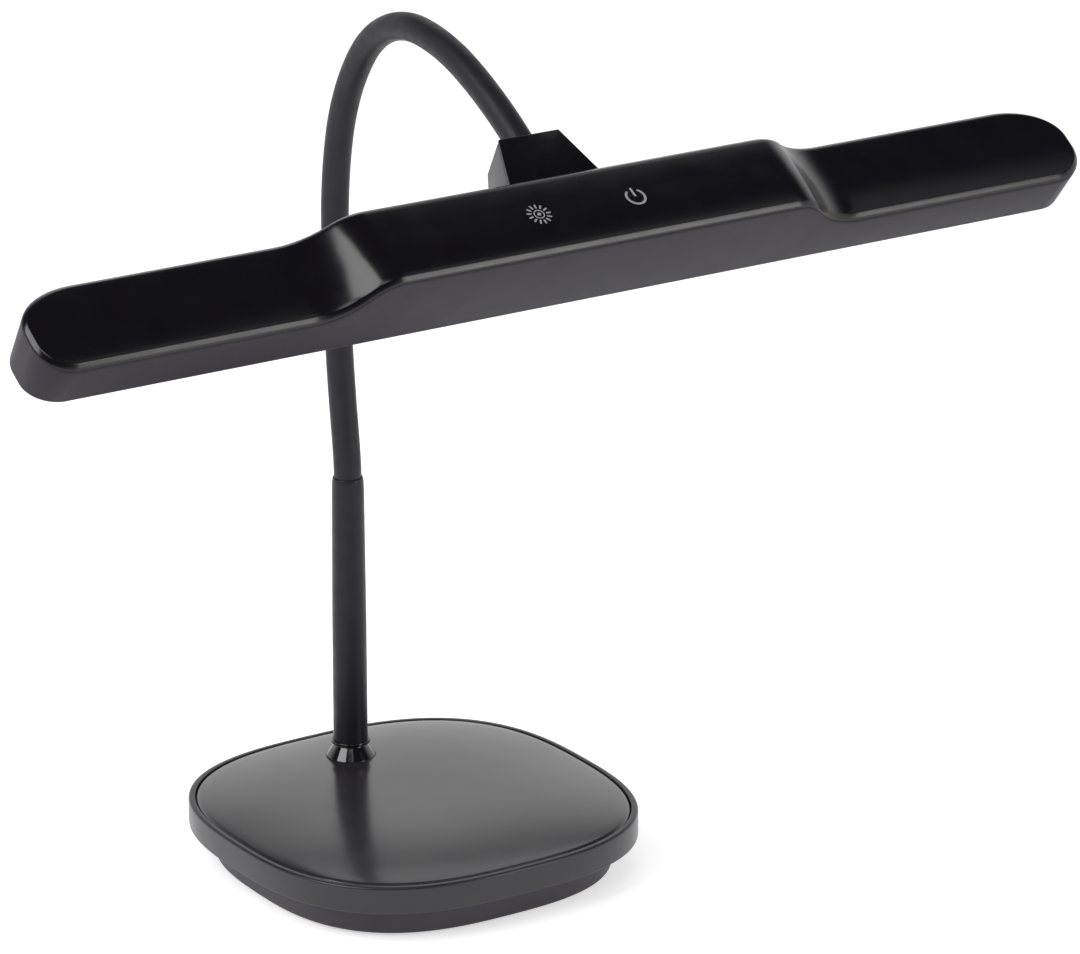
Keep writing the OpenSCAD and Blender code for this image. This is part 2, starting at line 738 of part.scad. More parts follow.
module diffuser() {
    inset = rebate_inset + 0.3;
    color("#f4f4f0") head_frame() head_loft([
        [inset + 0.4, diffuser_seat - diffuser_thickness], [inset, diffuser_seat - diffuser_thickness + 0.4],
        [inset, diffuser_seat]
    ]);
}

module driver_board() {
    color("#2e6b3a") head_frame() translate([-driver_half, (head_depth - driver_depth) / 2, driver_z])
        cube([2 * driver_half, driver_depth, 1.6]);
    color("#1d1d20") head_frame() {
        for (x = [-driver_half + 18, driver_half - 22 - driver_can[0]])
            translate([x, (head_depth - driver_can[1]) / 2, driver_z + 1.6]) cube(driver_can);
        translate([-driver_coil, head_depth / 2, driver_z + 1.6])
            cylinder(r = driver_coil, h = driver_can[2] + 2, $fn = 24);
    }
}

// Children stand under the raised middle of the cover, in its slope
module under_cover() {
    translate([0, 0, head_top(0, 0) - cover_edge]) rotate([middle_tilt, 0, 0]) children();
}

module touch_pads() {
    color("#c58b3d") head_frame() under_cover() for (x = [-pad_spacing, pad_spacing])
        translate([x, head_depth / 2, -0.9]) cylinder(r = touch_radius, h = 0.8, $fn = 32);
}

module touch_board() {
    color("#2e6b3a") head_frame() under_cover() {
        translate([-touch_board_half, head_depth / 2 - touch_board_half_depth, -2.5])
            cube([2 * touch_board_half, 2 * touch_board_half_depth, 1.6]);
        translate([-touch_chip_half, head_depth / 2 - touch_chip_half, -5])
            cube([2 * touch_chip_half, 2 * touch_chip_half, 2.5]);
    }
}

base_foot();
base_pad();
ballast_plate();
base_side_band();
base_top_cover();
base_screws();
power_socket();
power_board();
stem_washer();
stem_nut();
stem_collar();
stem_tube();
stem_sleeve();
stem_lead();
neck_root_core();
neck_root_sleeve();
neck_lower_core();
neck_lower_sleeve();
neck_lower_lead();
neck_rise_core();
neck_rise_sleeve();
neck_rise_lead();
neck_arch_core();
neck_arch_sleeve();
neck_arch_lead();
neck_front_core();
neck_front_sleeve();
neck_front_lead();
neck_tip_core();
neck_tip_sleeve();
neck_tip_lead();
neck_ferrule();
bracket_body();
bracket_lid();
bracket_screws();
head_housing();
head_cover();
led_carrier();
led_board();
led_chips();
diffuser();
driver_board();
touch_board();
touch_pads();
carrier_screws();
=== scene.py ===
import json
import math
import bpy
import bmesh
from mathutils import Matrix, Vector


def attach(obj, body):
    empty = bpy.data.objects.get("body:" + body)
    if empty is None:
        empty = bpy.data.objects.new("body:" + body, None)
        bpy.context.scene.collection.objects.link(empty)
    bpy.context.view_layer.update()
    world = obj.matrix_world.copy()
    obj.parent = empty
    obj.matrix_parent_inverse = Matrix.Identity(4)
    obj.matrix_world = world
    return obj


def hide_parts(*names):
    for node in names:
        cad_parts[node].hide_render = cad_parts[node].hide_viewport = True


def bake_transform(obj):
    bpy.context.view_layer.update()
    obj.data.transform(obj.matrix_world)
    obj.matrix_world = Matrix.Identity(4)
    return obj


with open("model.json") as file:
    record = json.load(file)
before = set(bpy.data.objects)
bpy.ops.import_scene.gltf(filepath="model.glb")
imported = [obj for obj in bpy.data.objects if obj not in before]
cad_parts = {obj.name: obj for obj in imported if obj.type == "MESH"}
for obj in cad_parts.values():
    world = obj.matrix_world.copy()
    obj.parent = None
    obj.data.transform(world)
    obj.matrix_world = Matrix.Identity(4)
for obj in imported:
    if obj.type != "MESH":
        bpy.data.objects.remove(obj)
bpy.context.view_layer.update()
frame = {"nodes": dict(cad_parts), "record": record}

mm = 0.001
scene = bpy.context.scene


# camera, at the photograph's view

cameraPlan = {
    "azimuth": -33.02, "elevation": 19.26,  # degrees, seen from the lamp
    "distance": 2840.3, "right": 61.4, "up": -4.23, "lookHeight": 200,
    "lens": 200, "sensor": 36,
}


def placeCamera(plan):
    a, e = math.radians(plan["azimuth"]), math.radians(plan["elevation"])
    back = Vector((math.sin(a) * math.cos(e), -math.cos(a) * math.cos(e), math.sin(e)))
    right = Vector((math.cos(a), math.sin(a), 0))
    up = back.cross(right)
    spot = back * plan["distance"] + right * plan["right"] + up * plan["up"]
    spot.z += plan["lookHeight"]
    data = bpy.data.cameras.new("photoCamera")
    data.lens, data.sensor_width, data.sensor_fit = plan["lens"], plan["sensor"], "HORIZONTAL"
    data.clip_end = 20
    camera = bpy.data.objects.new("photoCamera", data)
    scene.collection.objects.link(camera)
    camera.matrix_world = Matrix.Translation(spot * mm) @ Matrix((right, up, back)).transposed().to_4x4()
    scene.camera = camera


placeCamera(cameraPlan)
print("camera placed")


# finishes

finishPlans = {
    # grain, cloud and bump are in mm; spread is how far roughness wanders; specular is .5 unless given
    "cover_gloss": dict(colour=(.0026, .0021, .0042), tint=(.0038, .0032, .0056), rough=.22, spread=.03,
                        grain=.5, cloud=60, bump=.001),
    "housing_plastic": dict(colour=(.027, .0235, .0325), tint=(.03, .0265, .0355), rough=.42, spread=.025,
                            specular=.15, grain=.35, cloud=40, bump=.012),
    "diffuser_plastic": dict(colour=(.86, .86, .84), tint=(.82, .82, .8), rough=.5, spread=.06,
                             specular=.4, grain=.4, cloud=30, bump=.01, glow=.35),
    "neck_rubber": dict(colour=(.0125, .0112, .015), tint=(.0103, .0092, .0125), rough=.46, spread=.08,
                        specular=.28, grain=.5, cloud=24, bump=.016),
    "stem_rubber": dict(colour=(.0075, .0067, .0098), tint=(.0062, .0055, .008), rough=.4, spread=.06,
                        specular=.3, grain=.45, cloud=24, bump=.012),
    "collar_gloss": dict(colour=(.004, .004, .005), tint=(.006, .006, .007), rough=.1, spread=.03,
                         specular=.8, grain=.4, cloud=12, bump=.002),
    "lid_plastic": dict(colour=(.024, .022, .026), tint=(.021, .0195, .023), rough=.19, spread=.02,
                        specular=.95, grain=.4, cloud=50, bump=.0015),
    "band_plastic": dict(colour=(.019, .017, .0225), tint=(.017, .015, .02), rough=.32, spread=.02,
                         grain=.35, cloud=40, bump=.008),
    "foot_plastic": dict(colour=(.05, .0455, .0565), tint=(.0445, .0405, .0505), rough=.5, spread=.04,
                         specular=.32, grain=.4, cloud=30, bump=.014),
    "bracket_plastic": dict(colour=(.065, .062, .068), tint=(.058, .055, .061), rough=.32, spread=.02,
                            grain=.35, cloud=20, bump=.008),
    "bracket_gloss": dict(colour=(.003, .0028, .004), tint=(.0045, .0042, .0055), rough=.2, spread=.05,
                          specular=.32, grain=.4, cloud=20, bump=.001),
    "pad_rubber": dict(colour=(.012, .012, .012), tint=(.02, .02, .02), rough=.85, spread=.08,
                       specular=.2, grain=.8, cloud=15, bump=.08),
    "sign_ink": dict(colour=(.29, .282, .315), tint=(.25, .242, .272), rough=.5, spread=.08,
                     specular=.3, grain=.25, cloud=3, bump=.004),
    "inlet_plastic": dict(colour=(.01, .01, .011), tint=(.016, .016, .017), rough=.35, spread=.08,
                          grain=.3, cloud=5, bump=.01),
    "ballast_steel": dict(colour=(.3, .3, .31), tint=(.2, .19, .18), rough=.45, spread=.16, metal=1,
                          grain=.6, cloud=18, bump=.03, stretch=(1, 14, 1)),
    "screw_steel": dict(colour=(.42, .42, .43), tint=(.3, .3, .31), rough=.3, spread=.1, metal=1,
                        grain=.2, cloud=2, bump=.008),
    "washer_steel": dict(colour=(.46, .46, .47), tint=(.33, .32, .3), rough=.32, spread=.1, metal=1,
                         grain=.3, cloud=4, bump=.01),
    "tube_steel": dict(colour=(.4, .4, .41), tint=(.31, .31, .32), rough=.28, spread=.1, metal=1,
                       grain=.3, cloud=8, bump=.01, stretch=(1, 1, .05)),
    "wound_steel": dict(colour=(.33, .33, .34), tint=(.22, .22, .23), rough=.3, spread=.1, metal=1,
                        grain=.4, cloud=3, bump=.02, winding=1.6),
    "ferrule_metal": dict(colour=(.55, .55, .56), tint=(.42, .42, .43), rough=.26, spread=.08, metal=1,
                          grain=.3, cloud=5, bump=.008),
    "carrier_aluminium": dict(colour=(.58, .59, .6), tint=(.46, .47, .48), rough=.36, spread=.1, metal=1,
                              grain=.4, cloud=30, bump=.012, stretch=(.04, 1, 1)),
    "pad_brass": dict(colour=(.62, .4, .15), tint=(.5, .3, .1), rough=.3, spread=.1, metal=1,
                      grain=.3, cloud=4, bump=.01),
    "wire_sheath": dict(colour=(.16, .015, .015), tint=(.11, .01, .01), rough=.45, spread=.08,
                        specular=.4, grain=.4, cloud=6, bump=.01),
    "circuit_board": dict(colour=(.01, .1, .03), tint=(.03, .17, .06), rough=.35, spread=.08,
                          grain=.5, cloud=5, bump=.02, tracks=2.2),
    "strip_board": dict(colour=(.78, .78, .74), tint=(.66, .66, .6), rough=.4, spread=.06,
                        grain=.5, cloud=6, bump=.01, tracks=4),
    "chip_lens": dict(colour=(.86, .7, .2), tint=(.8, .6, .14), rough=.25, spread=.08,
                      grain=.3, cloud=1, bump=.004),
}

pattern = {
    # shared by all finishes; wear is so many times finer than cloud
    "cloudDetail": 3, "grainDetail": 4, "wearDetail": 6, "wearFiner": 4, "wearRange": (.3, .7),
    "coilWaver": .2, "trackEdge": (.42, .48), "trackGain": 1.6, "bumpStrength": .6,
    "glowRadius": (.003, .003, .0028),
}


def addNode(tree, kind, spot=(0, 0), given=None, **values):
    # given holds the values of input sockets, the rest are settings of the node
    node = tree.nodes.new(kind)
    node.location = spot
    for key, value in values.items():
        setattr(node, key, value)
    for key, value in (given or {}).items():
        node.inputs[key].default_value = value
    return node


def makeFinish(name, plan):
    finish = bpy.data.materials.new(name)
    finish.use_nodes = True
    tree = finish.node_tree
    tree.nodes.clear()
    link = tree.links.new
    out = addNode(tree, "ShaderNodeOutputMaterial", (900, 0))
    shader = addNode(tree, "ShaderNodeBsdfPrincipled", (600, 0), {
        "Metallic": plan.get("metal", 0), "Specular IOR Level": plan.get("specular", .5)})
    link(shader.outputs["BSDF"], out.inputs["Surface"])
    place = addNode(tree, "ShaderNodeTexCoord", (-900, 0))
    turn = addNode(tree, "ShaderNodeMapping", (-720, 0), {"Scale": plan.get("stretch", (1, 1, 1))})
    link(place.outputs["Object"], turn.inputs["Vector"])

    cloud = addNode(tree, "ShaderNodeTexNoise", (-500, 250), {  # slow change of colour
        "Scale": 1 / (plan["cloud"] * mm), "Detail": pattern["cloudDetail"]})
    shade = addNode(tree, "ShaderNodeMix", (-200, 250), {
        6: (*plan["colour"], 1), 7: (*plan["tint"], 1)}, data_type="RGBA")
    link(cloud.outputs["Fac"], shade.inputs[0])
    colour = shade.outputs[2]

    grain = addNode(tree, "ShaderNodeTexNoise", (-500, -250), {  # fine moulded grain
        "Scale": 1 / (plan["grain"] * mm), "Detail": pattern["grainDetail"]})
    wear = addNode(tree, "ShaderNodeTexNoise", (-500, 0), {  # handling marks
        "Scale": pattern["wearFiner"] / (plan["cloud"] * mm), "Detail": pattern["wearDetail"]})
    low, high = pattern["wearRange"]
    rough = addNode(tree, "ShaderNodeMapRange", (-200, 0), {
        "From Min": low, "From Max": high,
        "To Min": plan["rough"] - plan["spread"], "To Max": plan["rough"] + plan["spread"]})
    link(wear.outputs["Fac"], rough.inputs["Value"])
    link(rough.outputs["Result"], shader.inputs["Roughness"])
    height, noises = grain.outputs["Fac"], [cloud, grain, wear]

    if "winding" in plan:  # wire wound round the core
        coils = addNode(tree, "ShaderNodeTexWave", (-500, -500), {
            "Scale": math.pi / 10 / (plan["winding"] * mm), "Distortion": pattern["coilWaver"]},
            bands_direction="Z")
        both = addNode(tree, "ShaderNodeMath", (-200, -400), operation="ADD")
        link(grain.outputs["Fac"], both.inputs[0])
        link(coils.outputs["Fac"], both.inputs[1])
        height = both.outputs[0]
        noises.append(coils)
    if "tracks" in plan:  # copper under the lacquer
        cells = addNode(tree, "ShaderNodeTexVoronoi", (-500, -500), {
            "Scale": 1 / (plan["tracks"] * mm)}, distance="MANHATTAN")
        low, high = pattern["trackEdge"]
        edge = addNode(tree, "ShaderNodeMapRange", (-300, -500), {"From Min": low, "From Max": high})
        link(cells.outputs["Distance"], edge.inputs["Value"])
        copper = [min(1, c * pattern["trackGain"]) for c in plan["tint"]]
        lacquer = addNode(tree, "ShaderNodeMix", (0, 250), {7: (*copper, 1)}, data_type="RGBA")
        link(edge.outputs["Result"], lacquer.inputs[0])
        link(colour, lacquer.inputs[6])
        colour, height = lacquer.outputs[2], cells.outputs["Distance"]
        noises.append(cells)
    for noise in noises:
        link(turn.outputs["Vector"], noise.inputs["Vector"])

    link(colour, shader.inputs["Base Color"])
    bump = addNode(tree, "ShaderNodeBump", (300, -300), {
        "Strength": pattern["bumpStrength"], "Distance": plan["bump"] * mm})
    link(height, bump.inputs["Height"])
    link(bump.outputs["Normal"], shader.inputs["Normal"])
    if "glow" in plan:  # light in the frosted sheet
        shader.inputs["Subsurface Weight"].default_value = plan["glow"]
        shader.inputs["Subsurface Radius"].default_value = pattern["glowRadius"]
        shader.inputs["Subsurface Scale"].default_value = 1
    return finish


finishes = {name: makeFinish(name, plan) for name, plan in finishPlans.items()}
slotOf = {part["node"]: part["material_slot"] for part in frame["record"]["subparts"]}
print("finishes made:", len(finishes))


# mesh helpers


def tidyMesh(mesh):
    # distances in metres
    bm = bmesh.new()
    bm.from_mesh(mesh)
    bmesh.ops.remove_doubles(bm, verts=bm.verts, dist=2e-6)
    bmesh.ops.dissolve_degenerate(bm, edges=bm.edges, dist=1e-7)
    bmesh.ops.recalc_face_normals(bm, faces=bm.faces)
    bm.to_mesh(mesh)
    bm.free()


def smoothMesh(mesh, sharp):
    mesh.shade_smooth()
    mesh.set_sharp_from_angle(angle=math.radians(sharp))


def addPiece(name, mesh, finish):
    mesh.materials.clear()
    mesh.materials.append(finishes[finish])
    piece = bpy.data.objects.new(name, mesh)
    scene.collection.objects.link(piece)
    piece["finish"] = finish
    return piece


def newMesh(name, points, faces):
    mesh = bpy.data.meshes.new(name)
    mesh.from_pydata([[c * mm for c in p] for p in points], [], faces)
    return mesh


def newPiece(name, points, faces, finish, sharp=35):
    # points in mm
    mesh = newMesh(name, points, faces)
    tidyMesh(mesh)
    smoothMesh(mesh, sharp)
    return addPiece(name, mesh, finish)


def evaluated(piece):
    depsgraph = bpy.context.evaluated_depsgraph_get()
    return bpy.data.meshes.new_from_object(piece.evaluated_get(depsgraph), depsgraph=depsgraph)


def applyModifiers(piece, sharp=35):
    mesh = evaluated(piece)
    piece.modifiers.clear()
    piece.data = mesh
    smoothMesh(mesh, sharp)
    return piece


def seat(piece, body, *nodes):
    piece.data.name = piece.name
    if nodes:
        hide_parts(*nodes)
    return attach(piece, body)


def circle(radius, steps=48, start=0, turn=360):
    # points of a circle, or of an arc with both its ends
    angles = [math.radians(start + turn * k / steps) for k in range(steps + (turn < 360))]
    return [(radius * math.cos(a), radius * math.sin(a)) for a in angles]


def loft(rings, closed=False):
    # rings of equal length; closed joins the last ring to the first, otherwise both ends are capped
    count = len(rings[0])
    points = [p for ring in rings for p in ring]
    faces = []
    for k in range(len(rings) if closed else len(rings) - 1):
        a, b = k * count, (k + 1) % len(rings) * count
        for i in range(count):
            j = (i + 1) % count
            faces.append((a + i, b + i, b + j, a + j))
    if not closed:
        faces.append(tuple(range(count)))
        faces.append(tuple(range((len(rings) - 1) * count, len(rings) * count)))
    return points, faces


def roundCorners(profile, radii, steps=5, closed=True):
    # profile corners cut to arcs; radii has one value for each corner, 0 keeps it
    out, count = [], len(profile)
    most = .48  # share of a side that one corner may take
    for i, p in enumerate(profile):
        r = radii[i]
        if r <= 0 or (not closed and i in (0, count - 1)):
            out.append(p)
            continue
        here = Vector(p)
        a, b = Vector(profile[i - 1]) - here, Vector(profile[(i + 1) % count]) - here
        angle = a.angle(b)
        cut = min(r / math.tan(angle / 2), a.length * most, b.length * most)
        start, end = here + a.normalized() * cut, here + b.normalized() * cut
        for k in range(steps + 1):
            t = k / steps
            out.append(tuple(start * (1 - t) ** 2 + here * 2 * t * (1 - t) + end * t ** 2))
    return out


def spin(profile, centre, sides):
    # closed ring from (radius, height) points, turned round a vertical line
    rings = [[(centre[0] + x, centre[1] + y, z) for x, y in circle(r, sides)] for r, z in profile]
    return loft(rings, closed=True)


def turned(shape, place):
    # points and faces of a shape, moved by a matrix
    points, faces = shape
    return [place @ Vector(p) for p in points], faces


def joined(one, two):
    # points and faces of two shapes as one
    (points, faces), (more, sides) = one, two
    return list(points) + list(more), list(faces) + [tuple(v + len(points) for v in f) for f in sides]


def block(low, high, bevel):
    # closed box with small bevels, as rings from bottom to top
    (x0, y0, z0), (x1, y1, z1) = low, high

    def ring(inset, z):
        left, right, near, far = x0 + inset, x1 - inset, y0 + inset, y1 - inset
        return [(left + bevel, near, z), (right - bevel, near, z), (right, near + bevel, z),
                (right, far - bevel, z), (right - bevel, far, z), (left + bevel, far, z),
                (left, far - bevel, z), (left, near + bevel, z)]

    return loft([ring(bevel, z0), ring(0, z0 + bevel), ring(0, z1 - bevel), ring(bevel, z1)])


def newTree(name, inputs, output):
    tree = bpy.data.node_groups.new(name, "GeometryNodeTree")
    for socket, kind in inputs.items():
        tree.interface.new_socket(socket, in_out="INPUT", socket_type="NodeSocket" + kind)
    tree.interface.new_socket(output, in_out="OUTPUT", socket_type="NodeSocketGeometry")
    return tree


def addNodes(tree, **kinds):
    return {name: addNode(tree, kind, (200 * k - 800, 0)) for k, (name, kind) in enumerate(kinds.items())}


def wire(tree, nodes, *links):
    # each link says node, output, node, input
    for one, output, two, entry in links:
        tree.links.new(nodes[one].outputs[output], nodes[two].inputs[entry])


def repeatTree():
    # sets one item on every point of a mesh, each turned on by the same angle
    tree = newTree("repeatItem", {"Places": "Geometry", "Item": "Object", "Turn each": "Float",
                                  "Finish": "Material"}, "Pieces")
    n = addNodes(tree, given="NodeGroupInput", index="GeometryNodeInputIndex", angle="ShaderNodeMath",
                 about="ShaderNodeCombineXYZ", way="FunctionNodeEulerToRotation",
                 item="GeometryNodeObjectInfo", points="GeometryNodeMeshToPoints",
                 copies="GeometryNodeInstanceOnPoints", real="GeometryNodeRealizeInstances",
                 paint="GeometryNodeSetMaterial", out="NodeGroupOutput")
    n["angle"].operation = "MULTIPLY"
    wire(tree, n, ("index", 0, "angle", 0), ("given", "Turn each", "angle", 1), ("angle", 0, "about", "Z"),
         ("about", "Vector", "way", "Euler"), ("given", "Item", "item", "Object"),
         ("given", "Places", "points", "Mesh"),
         ("points", "Points", "copies", "Points"), ("item", "Geometry", "copies", "Instance"),
         ("way", "Rotation", "copies", "Rotation"), ("copies", "Instances", "real", "Geometry"),
         ("real", "Geometry", "paint", "Geometry"), ("given", "Finish", "paint", "Material"),
         ("paint", "Geometry", "out", "Pieces"))
    return tree


def setInputs(modifier, tree, **values):
    for socket in tree.interface.items_tree:
        first, *rest = socket.name.split()
        key = first.lower() + "".join(word.title() for word in rest)
        if socket.in_out == "INPUT" and key in values:
            modifier[socket.identifier] = values[key]


def nodesToMesh(name, source, tree, finish, sharp=35, **values):
    # runs a node tree on an object and keeps the plain mesh
    modifier = source.modifiers.new("nodes", "NODES")
    modifier.node_group = tree
    setInputs(modifier, tree, finish=finishes[finish], **values)
    mesh = evaluated(source)
    bpy.data.objects.remove(source)
    tidyMesh(mesh)
    smoothMesh(mesh, sharp)
    return addPiece(name, mesh, finish)


def repeatItem(name, item, places, finish, turnEach=0):
    # item stands at the origin and looks along +Z; places are points in mm
    source = addPiece(name + "Places", newMesh(name + "Places", places, []), finish)
    piece = nodesToMesh(name, source, repeatTree(), finish, item=item, turnEach=turnEach)
    bpy.data.objects.remove(item)
    return piece


# base

nearAxis = .001  # how far a closed profile stays off its axis, in mm

base = {
    # power sets how square the outline is
    "half": 100, "height": 30.6, "power": 2.73, "sides": 208, "wall": 2.6,
    "rim": 3, "ledge": 25.6, "ledgeDepth": 12.6, "bandFoot": 1.4,
    "bandRounding": [.2, 1.3, 2.1, .5, .2, .3, .3],
    "footHalf": 91, "footTop": 17.3, "footLean": 3, "footHeel": (5.4, .9), "footInside": (5.6, 3.8),
    "footRounding": [0, 2.4, .4, .4, 0],
    "padHalf": 83, "padHeight": 1.2, "padEdge": .5,
    # edge, inner, lip and under are shares of the lid's half width
    "lidHalf": 96.5, "dome": 5, "domePower": 3.6, "lidSide": 1.1, "lidRoll": .9,
    "lidEdge": .02, "lidInner": .972, "lidLip": .955, "lidUnder": (.15, .4, .62, .8, .93),
    "stemBack": 57.4, "seatRadius": 11, "seatSink": .1, "seatCut": 12.3, "stemHole": 6.1,
}
inlet = {
    "height": 9, "radius": 4, "bore": 2.8, "mouth": 89.5, "length": 13, "boreFloor": 2,
    "boreEdge": .35, "rimEdge": .25, "block": 4.5, "blockStart": 6.6, "blockBevel": .4,
    "pin": .98, "pinFoot": 1, "pinTaper": ((1, -1.6), (.8, -1.15), (.4, -1)),  # shares of radius, heights
    "hole": (80, 96), "clearance": .1,  # the hole through the foot's wall
}


def squircle(half, z):
    ring, power = [], 2 / base["power"]
    for i in range(base["sides"]):
        a = 2 * math.pi * i / base["sides"]
        c, s = math.cos(a), math.sin(a)
        ring.append((half * math.copysign(abs(c) ** power, c), half * math.copysign(abs(s) ** power, s), z))
    return ring


def lidZ(share):
    # height of the domed top at a share of its half width
    return base["height"] + base["dome"] * (1 - share ** base["domePower"])


seatZ = lidZ((base["stemBack"] + base["seatRadius"]) / base["lidHalf"]) - base["seatSink"]


def cutBy(piece, cutter):
    knife = piece.modifiers.new("cut", "BOOLEAN")
    knife.operation, knife.solver, knife.object = "DIFFERENCE", "EXACT", cutter
    applyModifiers(piece)
    bpy.data.objects.remove(cutter)


def rod(radius, start, end, sides=64):
    # plain cutter between two points, in mm
    start, end = Vector(start), Vector(end)
    turn = (end - start).to_track_quat("Z", "Y")
    rings = [[at + turn @ Vector((x, y, 0)) for x, y in circle(radius, sides)] for at in (start, end)]
    return newPiece("cutter", *loft(rings), "screw_steel")


def makeBase():
    b = base
    half, edge = b["padHalf"], b["padEdge"]
    rings = [squircle(half - edge, 0), squircle(half, edge), squircle(half, b["padHeight"])]
    seat(newPiece("basePad", *loft(rings), "pad_rubber"), "base", "base_pad")

    half, top = b["footHalf"], b["footTop"]
    (heel, heelRise), (inside, floor) = b["footHeel"], b["footInside"]
    profile = [(half - heel, b["padHeight"]), (half - b["footLean"], b["padHeight"] + heelRise),
               (half, top), (half - b["wall"], top), (half - inside, floor)]
    profile = roundCorners(profile, b["footRounding"], 6, closed=False)
    foot = newPiece("baseFoot", *loft([squircle(h, z) for h, z in profile]), "foot_plastic")
    start, end = ((0, y, inlet["height"]) for y in inlet["hole"])
    cutBy(foot, rod(inlet["radius"] + inlet["clearance"], start, end))
    seat(foot, "base", "base_foot")

    half, rim, shelf = b["half"], b["half"] - b["rim"], b["half"] - b["ledgeDepth"]
    profile = [(half - b["bandFoot"], top), (half, top), (half, b["height"]), (rim, b["height"]),
               (rim, b["ledge"]), (shelf, b["ledge"]), (shelf, top)]
    profile = roundCorners(profile, b["bandRounding"], 6)
    band = newPiece("baseBand", *loft([squircle(h, z) for h, z in profile], closed=True), "band_plastic")
    seat(band, "base", "base_side_band")

    # the lid from its inside up to its lip, over the edge and in to the middle
    half, roll, inner = b["lidHalf"], b["lidEdge"], b["lidInner"]
    under = [(half * s, lidZ(s) - b["wall"]) for s in b["lidUnder"]]
    lip = [(half * b["lidLip"], b["ledge"]), (half, b["ledge"]), (half, b["height"] - b["lidSide"])]
    over = [1 - roll * (k / 6) ** 2 for k in range(7)] + [inner - inner * (k / 26) for k in range(1, 26)]
    top = [(half * s, lidZ(s) - b["lidRoll"] * (1 - min(1, (1 - s) / roll)) ** 2) for s in over]
    lid = newPiece("baseLid", *loft([squircle(h, z) for h, z in under + lip + top]), "lid_plastic")
    back, above, below = b["stemBack"], 45, 20  # the cutters reach past the lid
    cutBy(lid, rod(b["seatCut"], (0, back, seatZ), (0, back, above), 96))
    cutBy(lid, rod(b["stemHole"], (0, back, below), (0, back, above), 64))
    seat(lid, "base", "base_top_cover")


def makeInlet():
    # barrel with its bore towards the back, the block behind it and the pin
    i = inlet
    place = Matrix.Translation((0, i["mouth"], i["height"])) @ Matrix.Rotation(math.radians(-90), 4, "X")
    r, bore, length = i["radius"], i["bore"], i["length"]
    floor = i["boreFloor"] - length
    profile = [(nearAxis, floor), (bore, floor), (bore, -i["boreEdge"]), (bore + i["boreEdge"], 0),
               (r - i["rimEdge"], 0), (r, -i["rimEdge"]), (r, -length), (nearAxis, -length)]
    barrel = turned(spin(profile, (0, 0), 48), place)
    half = i["block"]
    behind = block((-half, i["mouth"] - length, i["height"] - half),
                   (half, i["mouth"] - i["blockStart"], i["height"] + half), i["blockBevel"])
    seat(newPiece("powerInlet", *joined(barrel, behind), "inlet_plastic"), "base", "power_socket")

    foot, taper = i["pinFoot"] - length, [(i["pin"] * share, z) for share, z in i["pinTaper"]]
    profile = [(nearAxis, foot), (i["pin"], foot), *taper, (nearAxis, taper[-1][1])]
    pin = newPiece("inletPin", *turned(spin(profile, (0, 0), 24), place), "washer_steel")
    seat(pin, "base", "power_socket")


screws = {
    "offset": 52, "seat": 4.8, "turnEach": .7,
    "head": 3, "headHeight": 2, "headProfile": ((.55, 0), (.86, .3), (1, .9)),  # shares of radius, heights
    "shank": 1.5, "length": 12.5, "tip": 1, "threadFrom": 1, "pitch": 1.1, "threadDepth": .28, "crest": .35,
    "slot": .9, "slotLength": 3.4, "slotDepth": 1.2, "slotBevel": .12,
}


def makeScrews():
    # pan heads with a cross, under the foot; +Z is the way they go in
    s = screws
    low, root = -s["headHeight"], s["shank"] - s["threadDepth"]
    profile = [(nearAxis, low)] + [(s["head"] * share, low + z) for share, z in s["headProfile"]]
    profile += [(s["head"], 0), (s["shank"], 0)]
    for k in range(int((s["length"] - s["threadFrom"] - s["tip"]) / s["pitch"])):
        z = s["threadFrom"] + k * s["pitch"]
        profile += [(root, z), (s["shank"], z + s["pitch"] * s["crest"])]
    profile += [(root, s["length"] - s["tip"]), (nearAxis, s["length"])]
    item = newPiece("screwItem", *spin(profile, (0, 0), 24), "screw_steel")
    half, wide = s["slotLength"] / 2, s["slot"] / 2
    for a, b in ((half, wide), (wide, half)):
        slot = block((-a, -b, low - 1), (a, b, low + s["slotDepth"]), s["slotBevel"])
        cutBy(item, newPiece("cutter", *slot, "screw_steel"))
    o = s["offset"]
    places = [(x, y, s["seat"]) for x in (-o, o) for y in (-o, o)]
    seat(repeatItem("baseScrews", item, places, "screw_steel", turnEach=s["turnEach"]), "base", "base_screws")


makeBase()
makeInlet()
makeScrews()
print("base made")


# stem

stem = {
    "tubeRadius": 6, "gap": .1,
    "collarRadius": 12, "collarFoot": 1.2, "collarHeight": 9.4, "waist": 8.1, "waistHeight": .8,
    "ringRadius": 9.5, "ring": 1.6, "collarRounding": [0, .3, .5, .5, .2, .35, .35, 0],
    "lowRadius": 8.4, "middleRadius": 8.3, "topRadius": 7.8, "tubeTop": 174,
    "end": 5, "endStart": 2, "lip": 7.1, "lipInset": .3, "lipDepth": .5,  # the soft rounded upper end
}


